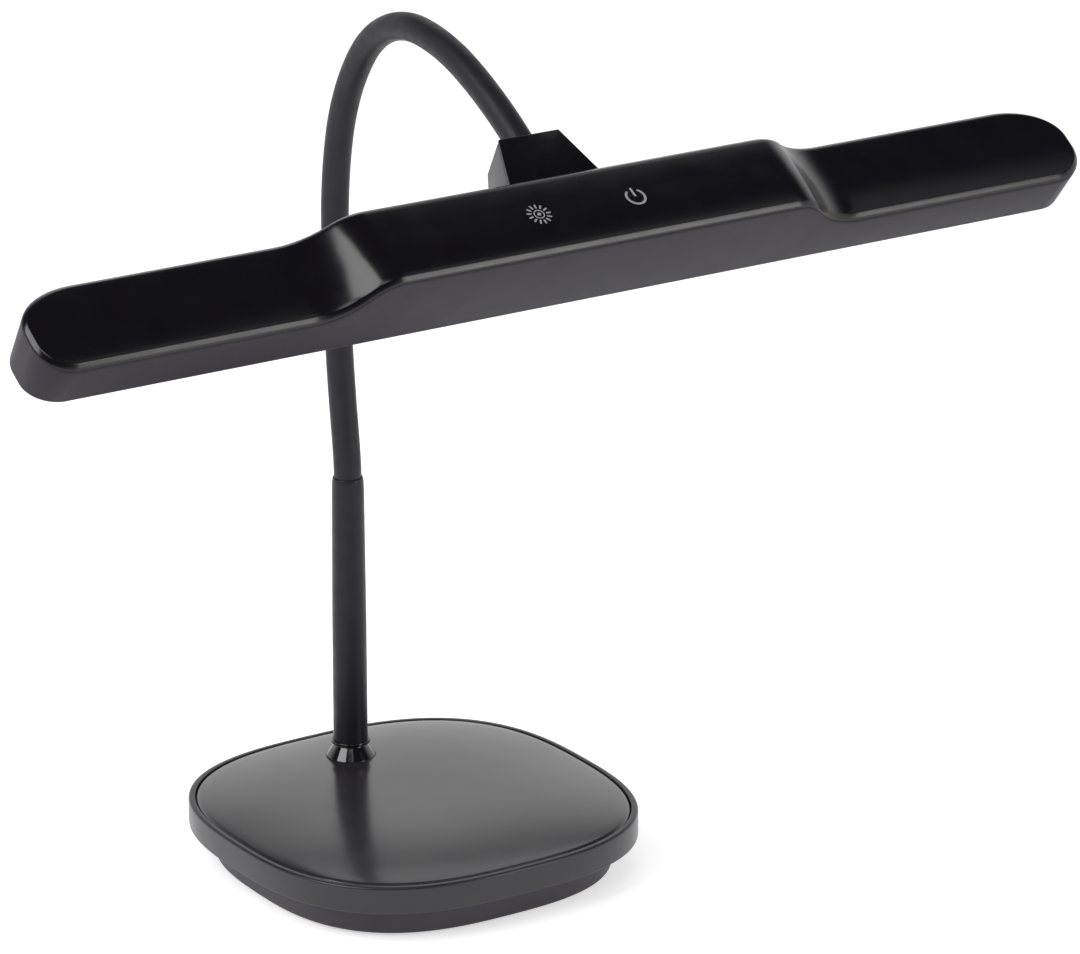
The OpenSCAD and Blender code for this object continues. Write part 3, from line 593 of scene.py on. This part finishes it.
def makeStem():
    s = stem
    centre = (0, base["stemBack"])
    top = seatZ + s["collarHeight"]
    low = top - s["ring"]
    bore = s["tubeRadius"] + s["gap"]
    profile = [(bore, seatZ), (s["collarRadius"], seatZ), (s["collarRadius"], seatZ + s["collarFoot"]),
               (s["waist"], low - s["waistHeight"]), (s["waist"], low), (s["ringRadius"], low),
               (s["ringRadius"], top), (bore, top)]
    profile = roundCorners(profile, s["collarRounding"], 5)
    seat(newPiece("stemCollar", *spin(profile, centre, 96), "collar_gloss"), "base", "stem_collar")

    inner, end = s["lip"] - s["lipInset"], s["tubeTop"]
    profile = [(bore, top), (s["lowRadius"], top), (s["middleRadius"], (top + end) / 2)]
    for k in range(13):
        a = math.pi / 2 * k / 12
        profile.append((s["lip"] + (s["topRadius"] - s["lip"]) * math.cos(a),
                        end - s["endStart"] + (s["end"] + s["endStart"]) * math.sin(a)))
    profile += [(inner, end + s["end"]), (inner, end - s["lipDepth"]), (bore, end - s["lipDepth"])]
    seat(newPiece("stemSleeve", *spin(profile, centre, 96), "stem_rubber"), "base", "stem_sleeve")


makeStem()
print("stem made")


# gooseneck

neck = {
    "radius": 6.7, "sides": 40, "start": 188, "low": 174, "lean": -9,
    "lower": [(117, 0)], "rise": [(44.5, 13), (50, 39)], "arch": [(60, 94), (38.5, 112)],
    "front": [(45.2, 123)],  # lengths, and degrees at their ends
    "tip": 30, "tipShown": 17, "tipTurn": 1, "easing": 12, "lowHandle": 2, "easeHandle": .36,
    "reach": ((8, 22), (42, 36), (40, 36), (36, 17), (19, 15)),  # how far each bend reaches to both sides
}


def runPoints(start, runs, spacing=9):
    # points (y, z, angle, handle) along circular runs that follow each other; spacing in mm
    y0, z0, a0 = start
    points = []
    for length, end in runs:
        turn = math.radians(end - a0)
        radius = length / turn
        count = max(2, round(length / spacing))
        for k in range(1, count + 1):
            a = math.radians(a0) + turn * k / count
            points.append((y0 + radius * (math.cos(a) - math.cos(math.radians(a0))),
                           z0 + radius * (math.sin(a) - math.sin(math.radians(a0))), math.degrees(a),
                           length / count / 3))
        y0, z0, a0 = points[-1][:3]
    return points


neckRoot = (base["stemBack"], neck["start"], neck["lean"])
lowerPoints = runPoints(neckRoot, neck["lower"])
risePoints = runPoints(lowerPoints[-1][:3], neck["rise"])
archPoints = runPoints(risePoints[-1][:3], neck["arch"])
frontPoints = runPoints(archPoints[-1][:3], neck["front"])
frontEnd = frontPoints[-1]
tipAngle = math.radians(frontEnd[2] + neck["tipTurn"])
seatPoint = (frontEnd[0] - neck["tip"] * math.sin(tipAngle), frontEnd[1] + neck["tip"] * math.cos(tipAngle))


def sweepTree():
    # a curve with a round section swept along it, capped at both ends
    tree = newTree("neckSweep", {"Path": "Geometry", "Sleeve radius": "Float", "Sides": "Int",
                                 "Finish": "Material"}, "Sleeve")
    n = addNodes(tree, given="NodeGroupInput", section="GeometryNodeCurvePrimitiveCircle",
                 sweep="GeometryNodeCurveToMesh", real="GeometryNodeRealizeInstances",
                 paint="GeometryNodeSetMaterial", out="NodeGroupOutput")
    n["sweep"].inputs["Fill Caps"].default_value = True
    wire(tree, n, ("given", "Sides", "section", "Resolution"),
         ("given", "Sleeve radius", "section", "Radius"),
         ("given", "Path", "sweep", "Curve"), ("section", "Curve", "sweep", "Profile Curve"),
         ("sweep", "Mesh", "real", "Geometry"), ("real", "Geometry", "paint", "Geometry"),
         ("given", "Finish", "paint", "Material"), ("paint", "Geometry", "out", "Sleeve"))
    return tree


def neckCurve(points):
    curve = bpy.data.curves.new("neckPath", "CURVE")
    curve.dimensions, curve.resolution_u = "3D", 8
    spline = curve.splines.new("BEZIER")
    spline.bezier_points.add(len(points) - 1)
    for k, (knot, (y, z, angle, handle)) in enumerate(zip(spline.bezier_points, points)):
        a = math.radians(angle)
        along = Vector((0, -math.sin(a), math.cos(a))) * mm
        ahead = points[k + 1][3] if k + 1 < len(points) else handle
        knot.handle_left_type = knot.handle_right_type = "FREE"
        knot.co = Vector((0, y, z)) * mm
        knot.handle_left = knot.co - along * handle
        knot.handle_right = knot.co + along * ahead
    path = bpy.data.objects.new("neckPath", curve)
    scene.collection.objects.link(path)
    return path


def makeNeck():
    # each sleeve runs from the middle of one stretch to the middle of the next, round the joint between
    n = neck
    tree = sweepTree()
    back, foot = base["stemBack"], n["start"] - n["easing"]
    down = [(back, n["low"], 0, n["lowHandle"]), (back, foot, 0, (foot - n["low"]) / 3)]
    first = [p for p in lowerPoints if math.dist(p[:2], neckRoot[:2]) > n["easing"]]
    first[0] = (*first[0][:3], math.dist(first[0][:2], down[-1][:2]) * n["easeHandle"])
    tip = [(frontEnd[0] - d * math.sin(tipAngle), frontEnd[1] + d * math.cos(tipAngle),
            math.degrees(tipAngle), n["tipShown"] / 6) for d in (n["tipShown"] / 2, n["tipShown"])]
    paths, start = [], down
    for stretch in (first, risePoints, archPoints, frontPoints):
        middle = len(stretch) // 2
        paths.append(start + stretch[:middle])
        start = stretch[middle - 1:]
    paths.append(start + tip)
    sleeves = [("neckRootSleeve", "neck_root_sleeve"), ("neckLowerSleeve", "neck_lower_sleeve"),
               ("neckRiseSleeve", "neck_rise_sleeve"), ("neckArchSleeve", "neck_arch_sleeve"),
               ("neckFrontSleeve", "neck_front_sleeve", "neck_tip_sleeve")]
    for k, (name, *nodes) in enumerate(sleeves):
        piece = nodesToMesh(name, neckCurve(paths[k]), tree, "neck_rubber", 50,
                            sleeveRadius=n["radius"] * mm, sides=n["sides"])
        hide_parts(*nodes)
        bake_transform(piece)


makeNeck()
print("gooseneck made")


# head

head = {
    "half": 277.5, "depth": 44.6, "pitch": 34, "seatHeight": 25, "seatBack": 8,
    "frontCorner": (17, 16), "backCorner": (32, 22), "cornerSteps": 24,  # along and across the head
    "wing": 26.8, "rise": 17.82, "riseBack": 14.08, "middleHalf": 104.24, "run": 41.36, "sweep": 1.9,
    "hollow": .645,
    "frontDrop": 2.56, "frontCrown": 20, "backDrop": .9, "backCrown": 16,  # the top's roll to its edges
    "edge": 2, "bevel": 2.6, "bevelPower": 1.6, "bevelEnd": .15, "coverInset": .3, "coverEdge": .12,
    "ends": 1.9, "wallEnds": .3, "coverEnds": .8,
    # pairs of inset and height; wallTop and wallShoulder count from the cover's lower edge
    "draft": 1.8, "wallFoot": ((.9, 0), (.45, .12), (.12, .45), (0, .9)),
    "wallTop": ((0, -2), (0, -.35), (.1, -.1), (.35, 0)), "wallShoulder": ((2.4, 0),),
    "inside": ((3.8, 9), (7, 9), (7, 3.2), (4.2, 3.2), (4.2, .3), (3.9, 0)),
    "panel": ((5.2, .8), (4.8, .88), (4.58, 1.1), (4.5, 1.4), (4.5, 3.2)),
}
pitch = math.radians(head["pitch"])
seatU = head["depth"] + head["seatBack"]
headY = seatPoint[0] - seatU * math.cos(pitch) + head["seatHeight"] * math.sin(pitch)
headZ = seatPoint[1] - seatU * math.sin(pitch) - head["seatHeight"] * math.cos(pitch)
headPlace = Matrix.Translation(Vector((0, headY, headZ))) @ Matrix.Rotation(pitch, 4, "X")
fromHead = Matrix.Scale(mm, 4) @ headPlace @ Matrix.Scale(1 / mm, 4)  # moves a mesh in metres

slope = math.radians(head["sweep"] * math.degrees(math.atan(head["rise"] / head["run"])))
arcs = (head["run"] - head["rise"] / math.tan(slope)) * math.sin(slope) / (1 - math.cos(slope))
lowArc = arcs * head["hollow"]
highArc = arcs - lowArc
lowRun, highRun = lowArc * math.sin(slope), highArc * math.sin(slope)


def stepGain(d):
    # the S-step: hollow arc, straight slope, round arc
    if d <= 0:
        return 0
    if d >= head["run"]:
        return head["rise"]
    if d < lowRun:
        return lowArc * (1 - math.cos(math.asin(d / lowArc)))
    if d < head["run"] - highRun:
        return lowArc * (1 - math.cos(slope)) + (d - lowRun) * math.tan(slope)
    return head["rise"] - highArc * (1 - math.cos(math.asin((head["run"] - d) / highArc)))


def headTop(x, u):
    h = head
    gain = stepGain(h["middleHalf"] + h["run"] - abs(x)) / h["rise"]
    crown = (h["frontDrop"] * max(0, 1 - u / h["frontCrown"]) ** 2
             + h["backDrop"] * max(0, 1 - (h["depth"] - u) / h["backCrown"]) ** 2)
    return h["wing"] + gain * (h["rise"] + (h["riseBack"] - h["rise"]) * u / h["depth"]) - crown


def headSide(corner):
    # one long side of the outline from -X to +X: x, distance from that side, and the normal's two parts
    steps, half = head["cornerSteps"], head["half"]
    rx, ru = corner
    out = []
    for k in range(steps + 1):
        a = math.pi * (1 + .5 * k / steps)
        normal = Vector((math.cos(a) / rx, math.sin(a) / ru)).normalized()
        out.append((-half + rx + rx * math.cos(a), ru + ru * math.sin(a), normal.x, normal.y))
    outer = head["middleHalf"] + head["run"]
    run = ([lowRun * k / 14 for k in range(15)]
           + [lowRun + (head["run"] - highRun - lowRun) * k / 4 for k in range(1, 4)]
           + [head["run"] - highRun * (1 - k / 10) for k in range(11)])
    wide = half - rx
    flats = [-wide + (wide - outer) * k / 8 for k in range(1, 8)]
    middle = [-head["middleHalf"] + head["middleHalf"] * k / 8 for k in range(1, 9)]
    out += [(x, 0, 0, -1) for x in flats + [-outer + d for d in run] + middle]
    return out + [(-x, u, -nx, nu) for x, u, nx, nu in reversed(out[:-1])]


front = headSide(head["frontCorner"])
rear = [(x, head["depth"] - u, nx, -nu) for x, u, nx, nu in headSide(head["backCorner"])]
outline = front + rear[::-1]


def inward(p, inset, ends):
    # point of the outline moved in; ends says how much further it moves at the head's ends
    x, u, nx, nu = p
    return x - inset * nx * ends, u - inset * nu


def headPoint(x, u, height, fromTop):
    return headPlace @ Vector((x, u, headTop(x, u) + height if fromTop else height))


def headLoft(levels, closed=False, rows=20):
    # a level is inset, height, fromTop, ends; an open loft gets a fine grid at its first and last level
    rings = [[headPoint(*inward(p, inset, ends), height, fromTop) for p in outline]
             for inset, height, fromTop, ends in levels]
    if closed:
        return loft(rings, closed=True)
    points, faces = loft(rings)
    faces = faces[:-2]
    n = len(front)
    for inset, height, fromTop, ends in (levels[0], levels[-1]):
        start = len(points)
        for r in range(rows + 1):
            t = r / rows
            for p, q in zip(front, rear):
                (x, u), (xb, ub) = inward(p, inset, ends), inward(q, inset, ends)
                points.append(headPoint(x + (xb - x) * t, u + (ub - u) * t, height, fromTop))
        for r in range(rows):
            for i in range(n - 1):
                a = start + r * n + i
                faces.append((a, a + 1, a + n + 1, a + n))
    return points, faces


def makeHead():
    h = head
    edge, inset, power, wall = h["edge"], h["coverInset"], h["bevelPower"], h["wallEnds"]
    deep = edge - h["bevelEnd"]
    levels = [(inset + h["coverEdge"], -edge), (inset, -edge + h["coverEdge"])]
    for k in range(13):  # a bevel with soft edges
        a = math.pi / 2 * k / 12
        levels.append((inset + h["bevel"] * (1 - abs(math.cos(a)) ** power),
                       -deep * (1 - math.sin(a) ** power)))
    levels = [(i, z, True, h["coverEnds"]) for i, z in levels]
    seat(newPiece("headCover", *headLoft(levels), "cover_gloss", 60), "head", "head_cover")

    levels = ([(h["draft"] + i, z, False, wall) for i, z in h["wallFoot"]]
              + [(i, z - edge, True, wall) for i, z in h["wallTop"]]
              + [(i, z - edge, True, h["ends"]) for i, z in h["wallShoulder"]]
              + [(i, z, False, h["ends"]) for i, z in h["inside"]])
    housing = newPiece("headHousing", *headLoft(levels, closed=True), "housing_plastic", 50)
    seat(housing, "head", "head_housing")

    levels = [(i, z, False, h["ends"]) for i, z in h["panel"]]
    seat(newPiece("lightDiffuser", *headLoft(levels, rows=6), "diffuser_plastic", 50), "head", "diffuser")


strip = {
    "chips": 44, "half": 259.2, "margin": 6, "level": 7.4, "chip": 3, "thick": .8, "bevel": .12,
    "lens": 1.15, "lensRings": ((1, -.35), (1, -.42), (.75, -.52), (.3, -.57)),  # shares of radius, heights
}


def makeChips():
    # LED chips in a row under the strip board, each with its yellow lens
    c = strip
    half, deep = c["chip"] / 2, c["thick"] / 2
    lens = loft([[(x, y, z) for x, y in circle(share * c["lens"], 16)] for share, z in c["lensRings"]])
    chip = block((-half, -half, -deep), (half, half, deep), c["bevel"])
    item = newPiece("chipItem", *joined(chip, lens), "chip_lens")
    step = 2 * (c["half"] - c["margin"]) / (c["chips"] - 1)
    places = [(-c["half"] + c["margin"] + step * k, head["depth"] / 2, c["level"]) for k in range(c["chips"])]
    row = repeatItem("ledChips", item, places, "chip_lens")
    row.data.transform(fromHead)
    seat(row, "head", "led_chips")


signs = {
    # places along the head and from its front edge
    "sunAt": (-25.2, 21.9), "rays": 13, "rayFrom": 3.6, "rayTo": 6, "rayWidth": .85,
    "ring": 2.4, "ringLine": .5, "dot": .5, "dotLine": .9,
    "powerAt": (26.1, 21.7), "power": 4.5, "powerLine": 1.15, "gap": 33, "bar": (.2, 5.5),
    "proud": .06, "sunk": .08,
}


def ribbon(path, width, closed=False, taper=0):
    # flat strip along points of a plane; taper rounds its ends off over that many points
    rings, count = [], len(path)
    for i, p in enumerate(path):
        before = path[i - 1] if i or closed else p
        after = path[(i + 1) % count] if i + 1 < count or closed else p
        way = (Vector(after) - Vector(before)).normalized()
        close = min(i, count - 1 - i)
        share = 1 if closed or close >= taper else math.sqrt(1 - (1 - (close + .15) / taper) ** 2)
        side = Vector((-way.y, way.x)) * width / 2 * share
        a, b = Vector(p) + side, Vector(p) - side
        rings.append([(a.x, a.y, -signs["sunk"]), (a.x, a.y, signs["proud"]), (b.x, b.y, signs["proud"]),
                      (b.x, b.y, -signs["sunk"])])
    return loft(rings, closed)


def straight(start, end, width, rounding=4):
    # dash with round ends, along X
    ends = [width / 2 * (1 - math.cos(math.pi / 2 * k / rounding)) for k in range(rounding)]
    xs = [start + e for e in ends] + [start + width / 2 + (end - start - width) * k / 3 for k in range(4)]
    return [(x, 0) for x in xs + [end - e for e in reversed(ends)]]


def onCover(points, at):
    # lays flat points on the cover: X along the head, Y towards its back
    x, u = at
    return [headPlace @ Vector((x + px, u + py, headTop(x + px, u + py) + pz)) for px, py, pz in points]


def makeSigns():
    # brightness sign with its rays, and power sign, printed on the cover
    g = signs
    arc = circle(g["power"], 48, 90 + g["gap"], 360 - 2 * g["gap"])
    bar = [(-y, x) for x, y in straight(*g["bar"], g["powerLine"])]
    for name, at, shape in (("brightnessRing", g["sunAt"], ribbon(circle(g["ring"]), g["ringLine"], True)),
                            ("brightnessDot", g["sunAt"], ribbon(circle(g["dot"]), g["dotLine"], True)),
                            ("powerArc", g["powerAt"], ribbon(arc, g["powerLine"], taper=3)),
                            ("powerBar", g["powerAt"], ribbon(bar, g["powerLine"], taper=4))):
        points, faces = shape
        seat(newPiece(name, onCover(points, at), faces, "sign_ink"), "head")

    ray = ribbon(straight(g["rayFrom"], g["rayTo"], g["rayWidth"]), g["rayWidth"], taper=4)
    rays = repeatItem("brightnessRays", newPiece("rayItem", *ray, "sign_ink"), [(0, 0, 0)] * g["rays"],
                      "sign_ink", turnEach=2 * math.pi / g["rays"])
    corners = rays.data.vertices
    for corner, place in zip(corners, onCover([c.co / mm for c in corners], g["sunAt"])):
        corner.co = place * mm
    rays.data.update()
    seat(rays, "head")


makeHead()
makeChips()
makeSigns()
print("head made")


# bracket

bracket = {
    "front": 24, "back": 16, "length": 29, "top": 34, "height": 22.5, "lid": 1.6, "gap": .05,
    "sunk": 6, "straight": 2, "bodyBevel": .9, "lidBevel": .5,
    "backLine": ((10, 0), (3.7, 3), (.4, 21.7)),  # in front of the back, over the bottom
    "wallTop": 2, "wallFoot": .8, "bore": 7, "boreSpan": (-1, 40),
}


def wallOuter(w):
    top = headTop(0, head["depth"]) - head["edge"] - bracket["wallTop"]
    return head["depth"] - head["draft"] * (top - w) / (top - bracket["wallFoot"])


def bracketBlock(low, high, name, finish, bevel):
    k, depth = bracket, head["depth"]
    back, bottom, top = depth + k["length"], k["top"] - k["height"], k["top"]
    plan = [(-k["front"], depth - k["sunk"]), (k["front"], depth - k["sunk"]),
            (k["front"], depth + k["straight"]), (k["back"], back), (-k["back"], back),
            (-k["front"], depth + k["straight"])]
    bm = bmesh.new()
    under, over = [[bm.verts.new((x, u, w)) for x, u in plan] for w in (low, high)]
    for i in range(len(plan)):
        j = (i + 1) % len(plan)
        bm.faces.new((under[i], under[j], over[j], over[i]))
    bm.faces.new(under)
    bm.faces.new(over)
    bmesh.ops.recalc_face_normals(bm, faces=bm.faces)
    line = [(back - inset, bottom + rise) for inset, rise in k["backLine"]]
    cuts = [((wallOuter(bottom), bottom), (wallOuter(top), top), -1), (*line[:2], 1), (*line[1:], 1)]
    for (u0, w0), (u1, w1), side in cuts:
        normal = Vector((0, w1 - w0, u0 - u1)) * side
        found = bmesh.ops.bisect_plane(bm, geom=bm.verts[:] + bm.edges[:] + bm.faces[:], plane_co=(0, u0, w0),
                                       plane_no=normal, clear_outer=True)
        edges = [e for e in found["geom_cut"] if isinstance(e, bmesh.types.BMEdge)]
        if edges:
            bmesh.ops.holes_fill(bm, edges=edges)
    mesh = bpy.data.meshes.new(name)
    bm.to_mesh(mesh)
    bm.free()
    mesh.transform(Matrix.Scale(mm, 4) @ headPlace)
    tidyMesh(mesh)
    piece = addPiece(name, mesh, finish)
    soft = piece.modifiers.new("edges", "BEVEL")
    soft.width, soft.segments, soft.limit_method, soft.angle_limit = bevel * mm, 4, "ANGLE", math.radians(20)
    return applyModifiers(piece, 32)


def makeBracket():
    k = bracket
    low, split, high = k["top"] - k["height"], k["top"] - k["lid"], k["top"]
    body = bracketBlock(low, split - k["gap"], "bracketBody", "bracket_plastic", k["bodyBevel"])
    lid = bracketBlock(split, high, "bracketLid", "bracket_gloss", k["lidBevel"])
    start, end = (headPlace @ Vector((0, seatU + far, head["seatHeight"])) for far in k["boreSpan"])
    cutBy(body, rod(k["bore"], start, end))
    seat(body, "head", "bracket_body")
    seat(lid, "head", "bracket_lid")


makeBracket()
print("bracket made")

# finishes for the solids that show as they are

for name, node in frame["nodes"].items():
    finish = finishes[slotOf.get(name, "housing_plastic")]
    if not node.material_slots:
        node.data.materials.append(finish)
    for spot in node.material_slots:
        spot.material = finish


# floor, light and background

studio = {
    "ambient": .46, "paper": .8, "paperGlow": .56, "floor": 8,
    "lean": (-.1635, -.2514, 1), "bright": .05, "dark": .45, "ceiling": .03,  # where the backdrop fades
    "lamps": [  # name, direction, distance, width, height, watts
        ("leftSoft", (-.74, -.04, .66), 1.6, 1.1, 1.1, 18),
        ("frontSoft", (.47, -.8, .25), 3.5, 1, 1.7, 23),
        ("highSoft", (-.36, -.55, .75), 2, .8, .5, 3.6),
        ("overFrontSoft", (.51, -.45, .73), 2, 1, .8, 1),
        ("overBackSoft", (.45, .54, .7), 2, 1.2, .8, 2.6),
    ],
    "aim": (0, -.04, .2),
}


def seenRays(tree, x, y):
    # 1 for whatever is seen, straight, in a reflection or through a clear piece
    path = addNode(tree, "ShaderNodeLightPath", (x, y))
    seen = path.outputs["Is Camera Ray"]
    for k, ray in enumerate(("Is Glossy Ray", "Is Transmission Ray")):
        either = addNode(tree, "ShaderNodeMath", (x + 180 + 160 * k, y), operation="MAXIMUM")
        tree.links.new(seen, either.inputs[0])
        tree.links.new(path.outputs[ray], either.inputs[1])
        seen = either.outputs[0]
    return path, seen


def makeBackdrop(s):
    # white round the object and dark overhead, as in a studio; soft light for everything else
    world = bpy.data.worlds.new("studioWorld")
    scene.world = world
    world.use_nodes = True
    tree = world.node_tree
    tree.nodes.clear()
    link = tree.links.new
    path, seen = seenRays(tree, -900, 300)
    way = addNode(tree, "ShaderNodeTexCoord", (-900, -100))
    height = addNode(tree, "ShaderNodeVectorMath", (-700, -100), {1: s["lean"]}, operation="DOT_PRODUCT")
    link(way.outputs["Generated"], height.inputs[0])
    fade = addNode(tree, "ShaderNodeMapRange", (-500, -100), {
        "From Min": s["bright"], "From Max": s["dark"], "To Min": 1, "To Max": s["ceiling"]},
        interpolation_type="SMOOTHSTEP")
    link(height.outputs["Value"], fade.inputs["Value"])
    glossy = addNode(tree, "ShaderNodeMath", (-350, 150), operation="MAXIMUM")  # the camera sees plain white
    link(fade.outputs["Result"], glossy.inputs[0])
    link(path.outputs["Is Camera Ray"], glossy.inputs[1])
    soft = addNode(tree, "ShaderNodeBackground", (-200, 0), {"Strength": s["ambient"], "Color": (1, 1, 1, 1)})
    white = addNode(tree, "ShaderNodeBackground", (-200, -150), {"Color": (1, 1, 1, 1)})
    link(glossy.outputs[0], white.inputs["Strength"])
    pick = addNode(tree, "ShaderNodeMixShader", (0, 0))
    link(seen, pick.inputs[0])
    link(soft.outputs[0], pick.inputs[1])
    link(white.outputs[0], pick.inputs[2])
    out = addNode(tree, "ShaderNodeOutputWorld", (200, 0))
    link(pick.outputs[0], out.inputs["Surface"])


def makePaper(s):
    # floor that the camera sees as white and that still takes the shadow
    mesh = bpy.data.meshes.new("studioFloor")
    f = s["floor"]  # half its size, in metres
    mesh.from_pydata([(-f, -f, 0), (f, -f, 0), (f, f, 0), (-f, f, 0)], [], [(0, 1, 2, 3)])
    floor = bpy.data.objects.new("studioFloor", mesh)
    scene.collection.objects.link(floor)
    paper = bpy.data.materials.new("studioPaper")
    paper.use_nodes = True
    tree = paper.node_tree
    tree.nodes.clear()
    link = tree.links.new
    matt = addNode(tree, "ShaderNodeBsdfDiffuse", (-200, 100), {"Color": (*[s["paper"]] * 3, 1)})
    path, seen = seenRays(tree, -800, -100)
    lift = addNode(tree, "ShaderNodeMath", (-300, -100), {1: s["paperGlow"]}, operation="MULTIPLY")
    link(seen, lift.inputs[0])
    glow = addNode(tree, "ShaderNodeEmission", (-150, -100))
    link(lift.outputs[0], glow.inputs["Strength"])
    both = addNode(tree, "ShaderNodeAddShader", (50, 0))
    link(matt.outputs[0], both.inputs[0])
    link(glow.outputs[0], both.inputs[1])
    out = addNode(tree, "ShaderNodeOutputMaterial", (250, 0))
    link(both.outputs[0], out.inputs["Surface"])
    mesh.materials.append(paper)


def placeLamps(s):
    aim = Vector(s["aim"])
    for name, direction, distance, width, height, watts in s["lamps"]:
        data = bpy.data.lights.new(name, "AREA")
        data.shape, data.size, data.size_y, data.energy = "RECTANGLE", width, height, watts
        lamp = bpy.data.objects.new(name, data)
        scene.collection.objects.link(lamp)
        way = Vector(direction).normalized()
        turn = way.to_track_quat("Z", "Y").to_matrix().to_4x4()
        lamp.matrix_world = Matrix.Translation(aim + way * distance) @ turn


makeBackdrop(studio)
makePaper(studio)
placeLamps(studio)
scene.view_settings.view_transform = "Standard"
print("studio made")
